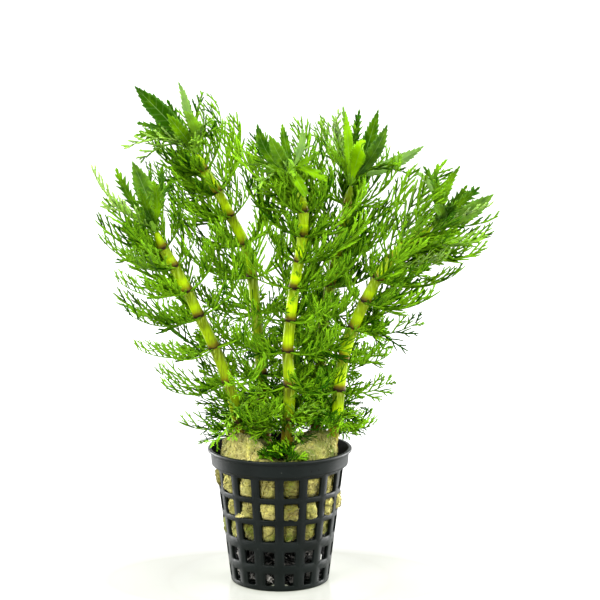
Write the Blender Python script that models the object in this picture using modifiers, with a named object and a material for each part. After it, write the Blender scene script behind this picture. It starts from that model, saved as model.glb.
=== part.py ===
"""Potted indian marshweed: a stem plant for aquariums in a round net pot.

Metres, +Z up. The origin is under the middle of the pot's floor, and the
front of the pot is at -Y. Five stems stand in a plug of mineral wool. Each
stem carries a whorl of up to six cut leaves at every node above the wool, and
a crown of young leaves at its tip.
"""
import math

import bmesh
import bpy
from mathutils import Matrix, Vector
from mathutils.bvhtree import BVHTree

MM = 0.001
# Gap left between pieces that touch
GAP = 0.3 * MM
# Vertices nearer than this are one
WELD = 0.01 * MM
# Edges that turn more than this are shaded as creases
CREASE_ANGLE = math.radians(40.0)
FRONT = Vector((0.0, -1.0, 0.0))

# Net pot
POT_COLUMNS = 16
WALL = 1.2 * MM
BASE_RADIUS = 18.5 * MM
SHOULDER_RADIUS = 24.0 * MM
SHOULDER_HEIGHT = 44.0 * MM
# Each row of windows: bottom, top and width
WINDOW_ROWS = (
    (2.1 * MM, 6.9 * MM, 3.4 * MM),
    (10.3 * MM, 15.5 * MM, 4.2 * MM),
    (19.4 * MM, 25.9 * MM, 5.1 * MM),
    (28.0 * MM, 34.4 * MM, 5.6 * MM),
    (36.4 * MM, 43.5 * MM, 6.0 * MM),
)
# The band and the lip above the windows: radius and height
COLLAR_PROFILE = (
    (25.7 * MM, 45.0 * MM),
    (26.1 * MM, 49.6 * MM),
    (27.2 * MM, 50.2 * MM),
    (27.2 * MM, 51.2 * MM),
)
# Slots in the floor: inner and outer radius, and the width at each
FLOOR_SLOT_INNER = (9.0 * MM, 1.7 * MM)
FLOOR_SLOT_OUTER = (16.0 * MM, 3.0 * MM)

# Mineral wool plug: radius and height, from the middle of its top outwards
WOOL_PROFILE = (
    (0.0, 50.5 * MM),
    (6.0 * MM, 51.0 * MM),
    (11.5 * MM, 55.0 * MM),
    (16.0 * MM, 56.5 * MM),
    (20.3 * MM, 54.0 * MM),
    (22.3 * MM, 49.0 * MM),
    (22.0 * MM, 43.0 * MM),
    (19.0 * MM, 20.0 * MM),
    (17.5 * MM, 18.8 * MM),
    (0.0, 18.8 * MM),
)
WOOL_SEGMENTS = 24
# Above this height the wool's top is uneven, and most so beyond this radius
WOOL_BROW_HEIGHT = 47.0 * MM
WOOL_BROW_RADIUS = 16.0 * MM
WOOL_SEAM_ANGLES = (math.radians(-84.0), math.radians(97.0))
WOOL_SEAM_WIDTH = math.radians(14.0)
WOOL_SEAM_DEPTH = 4.0 * MM
WOOL_LEFT_RISE = 1.5 * MM

# Stems
STEM_RADIUS_LOW = 2.15 * MM
STEM_RADIUS_HIGH = 1.7 * MM
STEM_LOW = 50.0 * MM
STEM_HIGH = 150.0 * MM
NODE_SWELL = 1.10
INTERNODE_SWELL = 0.96

# Whorls
WHORL_LEAVES = 6
COLLAR_WALL = 0.75 * MM
COLLAR_HEIGHT = 1.5 * MM
COLLAR_SLACK = 0.15 * MM
LEAF_THICKNESS = 0.7 * MM
LEAF_WIDTH = 9.5 * MM
# Share of that width which the shortest leaves keep
LEAF_WIDTH_LEAST = 0.45
LEAF_LENGTH_LOW = 25.0 * MM
LEAF_LENGTH_MIDDLE = 31.0 * MM
LEAF_LENGTH_TOP = 28.0 * MM
# Angle from the stem's axis at the lowest and the topmost whorl
LEAF_ANGLE_LOW = math.radians(90.0)
LEAF_ANGLE_TOP = math.radians(48.0)
# How far a leaf's outer half turns up
LEAF_LIFT = math.radians(26.0)
# Room kept between a leaf and what another stem carries
LEAF_ROOM = 0.4 * MM
# Room around a whorl's collar that other whorls' leaves leave free
ROOT_ROOM = 3.0 * MM
# What a leaf tries until it is clear: share of its length, turn around the stem, and lift
LEAF_SHARES = (1.0, 0.86, 0.72, 0.58, 0.44, 0.32, 0.2)
LEAF_TURNS = tuple(math.radians(turn) for turn in (0.0, 7.0, -7.0, 13.0, -13.0))
LEAF_LIFTS = tuple(math.radians(lift) for lift in (0.0, -7.0, 7.0, 13.0, -13.0))

# How far each stem's whorls are turned, so that neighbours mesh
STEM_TURNS = {
    "left": math.radians(10.0),
    "back_left": math.radians(24.0),
    "centre": math.radians(3.0),
    "back_right": math.radians(17.0),
    "right": math.radians(31.0),
}

# Crowns: the bud tapers from its foot to its head, and ends in a point
BUD_RADIUS = 2.1 * MM
BUD_FOOT = 1.15
BUD_HEAD = 0.8
BUD_HEIGHT = 4.5 * MM
BUD_POINT = 9.0 * MM
# A face of the bud is an end where it faces this nearly along the stem
BUD_END_FACING = 0.9
# Sections of a crown leaf: share of its reach, share of its width, and thickness
CROWN_SECTIONS = ((0.28, 0.62, 1.2 * MM), (0.62, 1.0, 0.8 * MM))
# How far a crown leaf bows away from the stem, as a share of its reach
CROWN_BOW = 0.10

# Each stem in millimetres: its end in the wool, then every node, and its tip last
STEMS_MM = {
    "left": (
        (-9.5, -1, 27), (-15.6, -2, 61), (-19.2, -3, 76.5), (-24.2, -5, 90), (-29.6, -7, 102),
        (-33.8, -8.5, 111.5), (-38.5, -10, 120.7), (-42.4, -11, 127.8), (-45.3, -12, 134.5),
    ),
    "back_left": (
        (-4.5, 6, 27), (-6.4, 9, 66), (-7.0, 9.5, 77), (-8.0, 10, 88.5), (-9.1, 10.5, 100.4),
        (-10.4, 11, 114), (-13.2, 11.5, 126.6), (-18.4, 12, 137), (-23.3, 12, 146.2),
        (-28.2, 12, 154.5), (-31.2, 12, 161),
    ),
    "centre": (
        (0.8, -3, 27), (3.2, -4.5, 62), (3.7, -5.5, 75.5), (3.1, -6, 88.5), (4.0, -6.5, 100.2),
        (5.4, -7, 112.3), (7.1, -7.5, 122.4), (8.5, -8, 131.8), (8.9, -8, 140.8),
        (7.2, -8, 148.6), (4.7, -8.5, 154),
    ),
    "back_right": (
        (9.5, 7, 27), (14.7, 13, 66), (15.4, 13.5, 77), (16.1, 14, 88), (17.2, 14.5, 99),
        (19.0, 15, 110), (21.2, 15.5, 121), (23.6, 15.5, 131.5), (25.6, 15.5, 141), (26.9, 15.5, 149),
    ),
    "right": (
        (14.8, -1, 29), (20.9, -2, 61), (22.3, -2, 73), (23.8, -2, 85), (27.4, -2, 96.5),
        (31.6, -2, 106.5), (36.2, -2, 115), (41.4, -2, 122.5), (46.4, -2, 127.6),
        (51.8, -2, 131.6), (57.2, -2, 135),
    ),
}

# Crown leaves in millimetres: where each tip is, and the leaf's width
CROWNS_MM = {
    "left": (
        (-53.4, -13, 160, 8.0), (-67.0, -17, 156.5, 7.0), (-60.0, -5, 157, 6.0),
        (-43.5, 3, 157, 6.5), (-45.0, -25, 154, 6.5), (-58.5, -29, 146, 6.0),
    ),
    "back_left": (
        (-54.0, 8, 186.3, 8.5), (-37.9, 14, 187.8, 6.5), (-41.5, 0, 176.5, 8.5),
        (-54.0, 17, 172, 5.0), (-28.0, 2, 179, 6.5), (-29.5, 24, 182.5, 5.5),
    ),
    "centre": (
        (-7.9, -12, 173.5, 7.5), (-3.5, -20, 170, 8.5), (1.0, -2, 173, 6.0),
        (8.5, -5, 171.5, 6.0), (-10.5, -3, 163, 5.5), (13.5, -19, 163, 5.5),
    ),
    "back_right": (
        (22.0, 12, 176, 6.5), (30.2, 23, 177, 6.0), (37.5, 12.5, 177.5, 7.5),
        (40.0, 3, 172.5, 7.5), (28.0, -2, 164, 8.0), (55.0, 24, 163.0, 6.0), (16.0, 24, 172, 5.5),
    ),
    "right": (
        (81.4, -2, 147, 7.5), (67.3, 5, 157, 5.5), (58.5, -3, 158.5, 6.0),
        (73.5, -10, 150.5, 6.5), (79.3, -8, 139.0, 6.0), (72.0, 12, 146, 6.0),
    ),
}


def new_collection(name):
    """A collection in the scene."""
    collection = bpy.data.collections.new(name)
    bpy.context.scene.collection.children.link(collection)
    return collection


def new_material(name, colour, roughness):
    """A Principled material of one colour."""
    material = bpy.data.materials.new(name)
    material.use_nodes = True
    shader = material.node_tree.nodes["Principled BSDF"]
    shader.inputs["Base Color"].default_value = (*colour, 1.0)
    shader.inputs["Roughness"].default_value = roughness
    shader.inputs["Metallic"].default_value = 0.0
    return material


def add_object(name, data, collection, material=None):
    """An object of the given mesh or curve, linked to a collection."""
    piece = bpy.data.objects.new(name, data)
    collection.objects.link(piece)
    if material is not None:
        data.materials.append(material)
    return piece


def finish_mesh(bm, name):
    """A mesh from a bmesh, with its faces pointing out."""
    bmesh.ops.recalc_face_normals(bm, faces=bm.faces)
    if bm.calc_volume(signed=True) < 0:
        bmesh.ops.reverse_faces(bm, faces=bm.faces)
    mesh = bpy.data.meshes.new(name)
    bm.to_mesh(mesh)
    bm.free()
    return mesh


def shade_round(mesh):
    """Shade a round form smooth, with creases where it turns sharply."""
    mesh.shade_smooth()
    mesh.set_sharp_from_angle(angle=CREASE_ANGLE)


def blend(low, high, share):
    """A value between low and high."""
    return low + (high - low) * share


def across_axis(axis):
    """Two directions square to a stem's axis: to the side, and to the front."""
    side = FRONT.cross(axis).normalized()
    return side, axis.cross(side)


def frame_at(place, axis, turn):
    """A frame whose Z runs along a stem's axis, turned around that axis."""
    side, front = across_axis(axis)
    axes = Matrix((side, front, axis)).transposed().to_4x4()
    return Matrix.Translation(place) @ axes @ Matrix.Rotation(turn, 4, "Z")


# Net pot


def wall_radius(height):
    """Outer radius of the tapered wall at a height."""
    return blend(BASE_RADIUS, SHOULDER_RADIUS, height / SHOULDER_HEIGHT)


def pot_rings():
    """Rings of the pot's outer surface, from the floor's middle to the lip.

    Each ring is its radius, its height, half the angle of a window there, and
    whether windows open between it and the next ring.
    """
    even_half = math.pi / POT_COLUMNS / 2
    rings = []
    for (radius, width), opens in ((FLOOR_SLOT_INNER, True), (FLOOR_SLOT_OUTER, False)):
        rings.append((radius, 0.0, width / 2 / radius, opens))
    rings.append((BASE_RADIUS, 0.0, even_half, False))
    for bottom, top, width in WINDOW_ROWS:
        for height, opens in ((bottom, True), (top, False)):
            radius = wall_radius(height)
            rings.append((radius, height, width / 2 / radius, opens))
    for radius, height in COLLAR_PROFILE:
        rings.append((radius, height, even_half, False))
    return rings


def make_pot(collection, material):
    """The net pot: one open surface of wall and floor, thickened inwards."""
    pitch = 2 * math.pi / POT_COLUMNS
    bm = bmesh.new()
    lower = None
    lower_opens = False
    for radius, height, half, opens in pot_rings():
        ring = []
        for column in range(POT_COLUMNS):
            middle = (column + 0.5) * pitch
            for angle in (middle - half, middle + half):
                place = (radius * math.cos(angle), radius * math.sin(angle), height)
                ring.append(bm.verts.new(place))
        if lower is None:
            bm.faces.new(ring)
        else:
            count = len(ring)
            for i in range(count):
                is_window = lower_opens and i % 2 == 0
                if not is_window:
                    j = (i + 1) % count
                    bm.faces.new((lower[i], lower[j], ring[j], ring[i]))
        lower = ring
        lower_opens = opens
    mesh = finish_mesh(bm, "net_pot")
    shade_round(mesh)
    pot = add_object("net_pot", mesh, collection, material)
    shell = pot.modifiers.new("wall", "SOLIDIFY")
    shell.thickness = WALL
    shell.offset = -1.0
    shell.use_even_offset = True
    return pot


# Stems


def stem_points(name):
    """A stem's points in metres: its end, every node and its tip."""
    return [Vector(point) * MM for point in STEMS_MM[name]]


def between_nodes(points, index):
    """The point halfway from one node to the next, on the cubic through four nodes."""
    before = points[max(index - 1, 0)]
    after = points[min(index + 2, len(points) - 1)]
    inner = points[index] + points[index + 1]
    return (inner * 9 - before - after) / 16


def stem_radius(height):
    """Radius of a stem between its nodes."""
    share = (height - STEM_LOW) / (STEM_HIGH - STEM_LOW)
    return blend(STEM_RADIUS_LOW, STEM_RADIUS_HIGH, min(max(share, 0.0), 1.0))


def make_tube(name, points, radii, collection, material=None):
    """A tube with filled caps through points, as a mesh object."""
    curve = bpy.data.curves.new(name, "CURVE")
    curve.dimensions = "3D"
    curve.bevel_depth = 1.0
    curve.bevel_resolution = 1
    curve.use_fill_caps = True
    spline = curve.splines.new("POLY")
    spline.points.add(len(points) - 1)
    for point, place, radius in zip(spline.points, points, radii):
        point.co = (*place, 1.0)
        point.radius = radius
    guide = add_object(name + "_curve", curve, collection)
    evaluated = guide.evaluated_get(bpy.context.evaluated_depsgraph_get())
    mesh = bpy.data.meshes.new_from_object(evaluated)
    bpy.data.objects.remove(guide)
    bpy.data.curves.remove(curve)
    bm = bmesh.new()
    bm.from_mesh(mesh)
    bmesh.ops.remove_doubles(bm, verts=bm.verts, dist=WELD)
    bmesh.ops.recalc_face_normals(bm, faces=bm.faces)
    bm.to_mesh(mesh)
    bm.free()
    shade_round(mesh)
    return add_object(name, mesh, collection, material)


def make_stem(name, collection, material):
    """A stem, a little thicker at each node than between them."""
    nodes = stem_points(name)
    points = [nodes[0]]
    radii = [stem_radius(nodes[0].z)]
    for index in range(1, len(nodes)):
        if index > 1:
            middle = between_nodes(nodes, index - 1)
            points.append(middle)
            radii.append(stem_radius(middle.z) * INTERNODE_SWELL)
        points.append(nodes[index])
        radii.append(stem_radius(nodes[index].z) * NODE_SWELL)
    return make_tube("stem_" + name, points, radii, collection, material)


def make_stem_hole(name, collection):
    """The cutter for a stem's hole in the wool."""
    nodes = stem_points(name)
    along = (nodes[1] - nodes[0]).normalized()
    start = nodes[0] - along * GAP
    radius = stem_radius(0.0) * NODE_SWELL + GAP
    cutter = make_tube("hole_" + name, (start, nodes[1]), (radius, radius), collection)
    cutter.display_type = "WIRE"
    cutter.hide_render = True
    return cutter


# Mineral wool


def seam_share(angle):
    """How deep the wool's seams are at an angle, from 0 to 1."""
    share = 0.0
    for seam in WOOL_SEAM_ANGLES:
        turn = math.remainder(angle - seam, 2 * math.pi)
        share = max(share, math.exp(-(turn / WOOL_SEAM_WIDTH) ** 2))
    return share


def make_wool(collection, material, cutters):
    """The wool plug: a turned form with two seams, and a hole for each stem."""
    profile = bpy.data.meshes.new("wool_profile")
    places = [(radius, 0.0, height) for radius, height in WOOL_PROFILE]
    edges = [(i, i + 1) for i in range(len(places) - 1)]
    profile.from_pydata(places, edges, [])
    guide = add_object("wool_profile", profile, collection)
    turn = guide.modifiers.new("turn", "SCREW")
    turn.steps = WOOL_SEGMENTS
    turn.render_steps = WOOL_SEGMENTS
    turn.use_merge_vertices = True
    turn.merge_threshold = WELD
    evaluated = guide.evaluated_get(bpy.context.evaluated_depsgraph_get())
    mesh = bpy.data.meshes.new_from_object(evaluated)
    bpy.data.objects.remove(guide)
    for vertex in mesh.vertices:
        angle = math.atan2(vertex.co.y, vertex.co.x)
        radius = math.hypot(vertex.co.x, vertex.co.y)
        rim_share = min(radius / WOOL_BROW_RADIUS, 1.0)
        if vertex.co.z > WOOL_BROW_HEIGHT:
            vertex.co.z -= WOOL_SEAM_DEPTH * seam_share(angle) * rim_share
            vertex.co.z += WOOL_LEFT_RISE * -math.cos(angle) * rim_share
    shade_round(mesh)
    wool = add_object("rockwool", mesh, collection, material)
    for cutter in cutters:
        cut = wool.modifiers.new(cutter.name, "BOOLEAN")
        cut.operation = "DIFFERENCE"
        cut.solver = "EXACT"
        cut.object = cutter
    return wool


# Leaves


class Leaf:
    """A cut leaf's flat form: where its base, widest part and tip are, and its width."""

    def __init__(self, base, middle, tip, across, width):
        self.base = base
        self.middle = middle
        self.tip = tip
        self.across = across
        self.width = width

    def upward(self):
        """The direction that the leaf's upper side faces."""
        return (self.middle - self.base).cross(self.across).normalized()

    def corners(self, room=0.0):
        """Four corners of the widest part, keyed by their side and face."""
        side_step = self.across * (self.width / 2 + room)
        face_step = self.upward() * (LEAF_THICKNESS / 2 + room)
        return {
            (side, face): self.middle + side_step * side + face_step * face
            for side in (-1, 1)
            for face in (-1, 1)
        }


class Whorl:
    """The leaves around one node of a stem, on a collar that rings the stem."""

    def __init__(self, stem, level, levels):
        nodes = stem_points(stem)
        self.stem = stem
        self.name = f"{stem}_whorl_{level}"
        self.share = (level - 1) / (levels - 1)
        self.centre = nodes[level]
        self.axis = (nodes[level + 1] - nodes[level - 1]).normalized()
        node_radius = stem_radius(self.centre.z) * NODE_SWELL
        inner = (node_radius + GAP + COLLAR_SLACK) / math.cos(math.pi / WHORL_LEAVES)
        self.inner_radius = inner
        self.outer_radius = inner + COLLAR_WALL
        self.phase = level * math.pi / WHORL_LEAVES + STEM_TURNS[stem]
        self.leaves = []

    def frame(self):
        """The collar's own frame, whose Z runs along the stem."""
        return frame_at(self.centre, self.axis, self.phase)

    def outward(self, turn):
        """Direction away from the stem at a turn around it."""
        local = Vector((math.cos(turn), math.sin(turn), 0.0))
        return (self.frame().to_3x3() @ local).normalized()

    def full_length(self):
        """Length of an unhindered leaf: longest halfway up the stem."""
        if self.share < 0.5:
            return blend(LEAF_LENGTH_LOW, LEAF_LENGTH_MIDDLE, self.share * 2)
        return blend(LEAF_LENGTH_MIDDLE, LEAF_LENGTH_TOP, self.share * 2 - 1)

    def trial_leaf(self, index, share, turn, lift):
        """A leaf of the whorl at a share of its length, turned and lifted a little."""
        face_turn = (index + 0.5) * 2 * math.pi / WHORL_LEAVES
        base_reach = self.outer_radius * math.cos(math.pi / WHORL_LEAVES)
        base = self.centre + self.outward(face_turn) * base_reach
        out = self.outward(face_turn + turn)
        half = self.full_length() * share / 2
        angle = blend(LEAF_ANGLE_LOW, LEAF_ANGLE_TOP, self.share) - lift
        middle = base + (self.axis * math.cos(angle) + out * math.sin(angle)) * half
        angle -= LEAF_LIFT
        tip = middle + (self.axis * math.cos(angle) + out * math.sin(angle)) * half
        across = self.axis.cross(out).normalized()
        width = LEAF_WIDTH * blend(LEAF_WIDTH_LEAST, 1.0, share)
        return Leaf(base, middle, tip, across, width)

    def base_corners(self, index):
        """Corners of the collar's outer face that a leaf grows from."""
        frame = self.frame()
        corners = {}
        for side, step in ((-1, 0), (1, 1)):
            turn = (index + step) * 2 * math.pi / WHORL_LEAVES
            for face in (-1, 1):
                local = (
                    self.outer_radius * math.cos(turn),
                    self.outer_radius * math.sin(turn),
                    COLLAR_HEIGHT / 2 * face,
                )
                corners[side, face] = frame @ Vector(local)
        return corners

    def hull_of(self, index, leaf, room):
        """A search tree over a leaf's faces, grown by the room it keeps."""
        root = self.base_corners(index)
        widest = leaf.corners(room)
        keys = ((-1, -1), (1, -1), (1, 1), (-1, 1))
        count = len(keys)
        places = [root[key] for key in keys] + [widest[key] for key in keys]
        places.append(leaf.tip + (leaf.tip - leaf.middle).normalized() * room)
        faces = []
        for i in range(count):
            j = (i + 1) % count
            faces.append((i, j, j + count, i + count))
            faces.append((i + count, j + count, 2 * count))
        return BVHTree.FromPolygons(places, faces)

    def grow(self, index, obstacles):
        """Add the fullest leaf that is clear of the obstacles, or None if none is."""
        for share in LEAF_SHARES:
            for lift in LEAF_LIFTS:
                for turn in LEAF_TURNS:
                    leaf = self.trial_leaf(index, share, turn, lift)
                    hull = self.hull_of(index, leaf, LEAF_ROOM)
                    if not any(hull.overlap(other) for owner, other in obstacles if owner != self.name):
                        self.leaves.append(leaf)
                        obstacles.append((self.name, self.hull_of(index, leaf, 0.0)))
                        return
        self.leaves.append(None)

    def root_tree(self):
        """A search tree over the room that the whorl's leaf bases need."""
        frame = self.frame()
        places = []
        for index in range(WHORL_LEAVES):
            turn = index * 2 * math.pi / WHORL_LEAVES
            reach = self.outer_radius + ROOT_ROOM
            for rise in (-COLLAR_HEIGHT, COLLAR_HEIGHT):
                local = (reach * math.cos(turn), reach * math.sin(turn), rise)
                places.append(frame @ Vector(local))
        count = len(places)
        faces = [(i, (i + 2) % count, (i + 3) % count, i + 1) for i in range(0, count, 2)]
        faces.append(tuple(range(0, count, 2)))
        faces.append(tuple(range(1, count, 2)))
        return BVHTree.FromPolygons(places, faces)

    def build(self, collection, material):
        """The collar and its leaves as one object."""
        bm = bmesh.new()
        low = -COLLAR_HEIGHT / 2
        high = COLLAR_HEIGHT / 2
        section = [
            bm.verts.new((radius, 0.0, height))
            for radius, height in (
                (self.inner_radius, low), (self.outer_radius, low),
                (self.outer_radius, high), (self.inner_radius, high),
            )
        ]
        edges = [bm.edges.new((section[i - 1], section[i])) for i in range(len(section))]
        bmesh.ops.spin(
            bm, geom=edges, cent=(0, 0, 0), axis=(0, 0, 1), angle=2 * math.pi,
            steps=WHORL_LEAVES, use_merge=True,
        )
        bmesh.ops.remove_doubles(bm, verts=bm.verts, dist=WELD)
        bmesh.ops.recalc_face_normals(bm, faces=bm.faces)
        middle_radius = (self.inner_radius + self.outer_radius) / 2
        reach = middle_radius * math.cos(math.pi / WHORL_LEAVES)
        faces = {}
        for face in bm.faces:
            middle = face.calc_center_median()
            if math.hypot(middle.x, middle.y) > reach and abs(middle.z) < COLLAR_HEIGHT / 4:
                turn = math.atan2(middle.y, middle.x) % (2 * math.pi)
                faces[int(turn / (2 * math.pi / WHORL_LEAVES))] = face
        bm.transform(self.frame())
        for index, leaf in enumerate(self.leaves):
            if leaf is None:
                continue
            draw_out(bm, faces[index], [leaf.corners()], leaf.across, self.axis, leaf.tip)
        return add_object(self.name, finish_mesh(bm, self.name), collection, material)


def draw_out(bm, face, sections, across, axis, tip):
    """Pull a face out through sections to a point.

    Each section is four corners keyed by side and face, as Leaf.corners gives.
    """
    for corners in sections:
        grown = bmesh.ops.extrude_discrete_faces(bm, faces=[face])["faces"][0]
        middle = grown.calc_center_median()
        for vertex in grown.verts:
            step = vertex.co - middle
            side = 1 if step.dot(across) > 0 else -1
            level = 1 if step.dot(axis) > 0 else -1
            vertex.co = corners[side, level]
        face = grown
    point = bmesh.ops.poke(bm, faces=[face])["verts"][0]
    point.co = tip


class Crown:
    """The young leaves at a stem's tip, on the bud that caps the stem."""

    def __init__(self, stem):
        nodes = stem_points(stem)
        self.stem = stem
        self.name = stem + "_crown"
        self.axis = (nodes[-1] - nodes[-2]).normalized()
        self.base = nodes[-1] + self.axis * GAP
        tips = [(Vector(leaf[:3]) * MM, leaf[3] * MM) for leaf in CROWNS_MM[stem]]
        self.leaves = sorted(tips, key=lambda leaf: self.turn_of(leaf[0]))
        self.count = len(self.leaves)

    def turn_of(self, place):
        """Turn around the bud's axis at which a place lies."""
        side, front = across_axis(self.axis)
        step = place - self.base
        return math.atan2(step.dot(front), step.dot(side)) % (2 * math.pi)

    def phase(self):
        """The bud's own turn, which brings its faces nearest to their leaves."""
        pitch = 2 * math.pi / self.count
        offsets = [self.turn_of(tip) - (i + 0.5) * pitch for i, (tip, _) in enumerate(self.leaves)]
        return sum(offsets) / self.count

    def sections(self, tip, width, out):
        """Corners of a crown leaf where it leaves the bud and where it is widest."""
        start = self.base + self.axis * BUD_HEIGHT / 2 + out * BUD_RADIUS
        reach = tip - start
        across = self.axis.cross(out).normalized()
        across = (across - reach.normalized() * across.dot(reach.normalized())).normalized()
        upward = reach.cross(across).normalized()
        sections = []
        for share, width_share, thickness in CROWN_SECTIONS:
            bow = out * reach.length * CROWN_BOW * math.sin(math.pi * share)
            middle = start + reach * share + bow
            side_step = across * width * width_share / 2
            face_step = upward * thickness / 2
            sections.append({
                (side, face): middle + side_step * side + face_step * face
                for side in (-1, 1)
                for face in (-1, 1)
            })
        return sections, across

    def build(self, collection, material):
        """The bud and its leaves as one object."""
        bm = bmesh.new()
        bmesh.ops.create_cone(
            bm, cap_ends=True, segments=self.count, radius1=BUD_RADIUS * BUD_FOOT,
            radius2=BUD_RADIUS * BUD_HEAD, depth=BUD_HEIGHT,
        )
        # A cone's first side starts a quarter turn on from a frame's first direction
        first_side = self.phase() - math.pi / 2
        bm.transform(frame_at(self.base + self.axis * BUD_HEIGHT / 2, self.axis, first_side))
        bm.normal_update()
        sides = []
        for face in list(bm.faces):
            facing = face.normal.dot(self.axis)
            if facing > BUD_END_FACING:
                point = bmesh.ops.poke(bm, faces=[face])["verts"][0]
                point.co = self.base + self.axis * (BUD_HEIGHT + BUD_POINT)
            elif facing > -BUD_END_FACING:
                sides.append(face)
        side, front = across_axis(self.axis)
        pitch = 2 * math.pi / self.count
        for i, (tip, width) in enumerate(self.leaves):
            wanted = self.phase() + (i + 0.5) * pitch
            out = side * math.cos(wanted) + front * math.sin(wanted)
            face = max(sides, key=lambda candidate: candidate.normal.dot(out))
            sides.remove(face)
            sections, across = self.sections(tip, width, out)
            draw_out(bm, face, sections, across, self.axis, tip)
        return add_object(self.name, finish_mesh(bm, self.name), collection, material)


def surface_tree(piece):
    """A search tree over a piece's surface, as its modifiers leave it."""
    return BVHTree.FromObject(piece, bpy.context.evaluated_depsgraph_get())


def main():
    """Build every piece of the potted plant."""
    for old in list(bpy.data.objects):
        bpy.data.objects.remove(old)
    parts = new_collection("potted_indian_marshweed")
    cutters = new_collection("cutters")
    plastic = new_material("pot_plastic", (0.022, 0.026, 0.027), 0.42)
    wool_fibre = new_material("wool_fibre", (0.60, 0.52, 0.24), 0.95)
    stem_skin = new_material("stem_skin", (0.36, 0.45, 0.03), 0.40)
    leaf_green = new_material("leaf_green", (0.10, 0.25, 0.02), 0.50)
    shoot_green = new_material("shoot_green", (0.17, 0.38, 0.02), 0.45)

    pot = make_pot(parts, plastic)
    holes = [make_stem_hole(stem, cutters) for stem in STEMS_MM]
    wool = make_wool(parts, wool_fibre, holes)
    stems = [make_stem(stem, parts, stem_skin) for stem in STEMS_MM]
    crowns = [Crown(stem).build(parts, shoot_green) for stem in STEMS_MM]
    bpy.context.view_layer.update()

    obstacles = [(piece.name, surface_tree(piece)) for piece in (pot, wool, *stems, *crowns)]
    whorls = []
    for stem, nodes in STEMS_MM.items():
        levels = len(nodes) - 2
        whorls.extend(Whorl(stem, level, levels) for level in range(1, levels + 1))
    obstacles.extend((whorl.name, whorl.root_tree()) for whorl in whorls)
    whorls.sort(key=lambda whorl: -whorl.centre.z)
    for whorl in whorls:
        for index in range(WHORL_LEAVES):
            whorl.grow(index, obstacles)
    for whorl in sorted(whorls, key=lambda whorl: whorl.name):
        whorl.build(parts, leaf_green)


main()
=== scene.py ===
"""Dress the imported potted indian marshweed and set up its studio.

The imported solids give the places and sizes. Every flat leaf blade of the
solids carries a finely cut or a toothed leaf here, and the stems, the wool
and the net pot are made again with their fine forms.
"""

import logging
import math
from dataclasses import dataclass, field
from enum import Enum

import bmesh
import bpy
import numpy as np
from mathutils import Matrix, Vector, noise


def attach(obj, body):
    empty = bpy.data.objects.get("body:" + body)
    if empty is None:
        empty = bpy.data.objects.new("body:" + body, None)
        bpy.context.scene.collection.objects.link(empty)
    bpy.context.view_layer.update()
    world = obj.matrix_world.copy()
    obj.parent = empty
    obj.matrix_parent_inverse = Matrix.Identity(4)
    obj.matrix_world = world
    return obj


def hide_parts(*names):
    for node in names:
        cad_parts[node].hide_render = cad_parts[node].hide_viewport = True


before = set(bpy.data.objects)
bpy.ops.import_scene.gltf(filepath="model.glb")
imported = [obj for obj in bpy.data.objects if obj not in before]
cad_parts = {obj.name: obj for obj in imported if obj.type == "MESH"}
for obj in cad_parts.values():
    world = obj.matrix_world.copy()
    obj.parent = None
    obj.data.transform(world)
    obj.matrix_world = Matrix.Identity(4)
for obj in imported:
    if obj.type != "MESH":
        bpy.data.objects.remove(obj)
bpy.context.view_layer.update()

logger = logging.getLogger("marshweed")

MM = 0.001
BODY = "root"
WELD = 0.005 * MM
UP = np.array((0.0, 0.0, 1.0))
FRONT = np.array((0.0, -1.0, 0.25))

# The traits of sheaves of cut and of broad leaves
LEAF_TRAITS = ("tone", "along", "frost", "under")
SHOOT_TRAITS = ("tone", "along", "frost", "across", "under")

Array = np.ndarray
Rng = np.random.Generator
Material = bpy.types.Material
Object = bpy.types.Object
Socket = bpy.types.NodeSocket
Tree = bpy.types.NodeTree

# Each stem in millimetres: its foot in the wool, then every node, and its tip last
STEM_ROUTES_MM = {
    "left": (
        (-9.5, -1, 27), (-15.6, -2, 61), (-19.2, -3, 76.5), (-24.2, -5, 90), (-29.6, -7, 102),
        (-33.8, -8.5, 111.5), (-38.5, -10, 120.7), (-42.4, -11, 127.8), (-45.3, -12, 134.5),
    ),
    "back_left": (
        (-4.5, 6, 27), (-6.4, 9, 66), (-7.0, 9.5, 77), (-8.0, 10, 88.5), (-9.1, 10.5, 100.4),
        (-10.4, 11, 114), (-13.2, 11.5, 126.6), (-18.4, 12, 137), (-23.3, 12, 146.2),
        (-28.2, 12, 154.5), (-31.2, 12, 161),
    ),
    "centre": (
        (0.8, -3, 27), (3.2, -4.5, 62), (3.7, -5.5, 75.5), (3.1, -6, 88.5), (4.0, -6.5, 100.2),
        (5.4, -7, 112.3), (7.1, -7.5, 122.4), (8.5, -8, 131.8), (8.9, -8, 140.8),
        (7.2, -8, 148.6), (4.7, -8.5, 154),
    ),
    "back_right": (
        (9.5, 7, 27), (14.7, 13, 66), (15.4, 13.5, 77), (16.1, 14, 88), (17.2, 14.5, 99),
        (19.0, 15, 110), (21.2, 15.5, 121), (23.6, 15.5, 131.5), (25.6, 15.5, 141), (26.9, 15.5, 149),
    ),
    "right": (
        (14.8, -1, 29), (20.9, -2, 61), (22.3, -2, 73), (23.8, -2, 85), (27.4, -2, 96.5),
        (31.6, -2, 106.5), (36.2, -2, 115), (41.4, -2, 122.5), (46.4, -2, 127.6),
        (51.8, -2, 131.6), (57.2, -2, 135),
    ),
}


class LeafKind(Enum):
    """How a leaf of a crown is cut."""

    BROAD = "broad"
    LOBED = "lobed"
    CUT = "cut"


BROAD, LOBED, CUT = LeafKind


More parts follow.
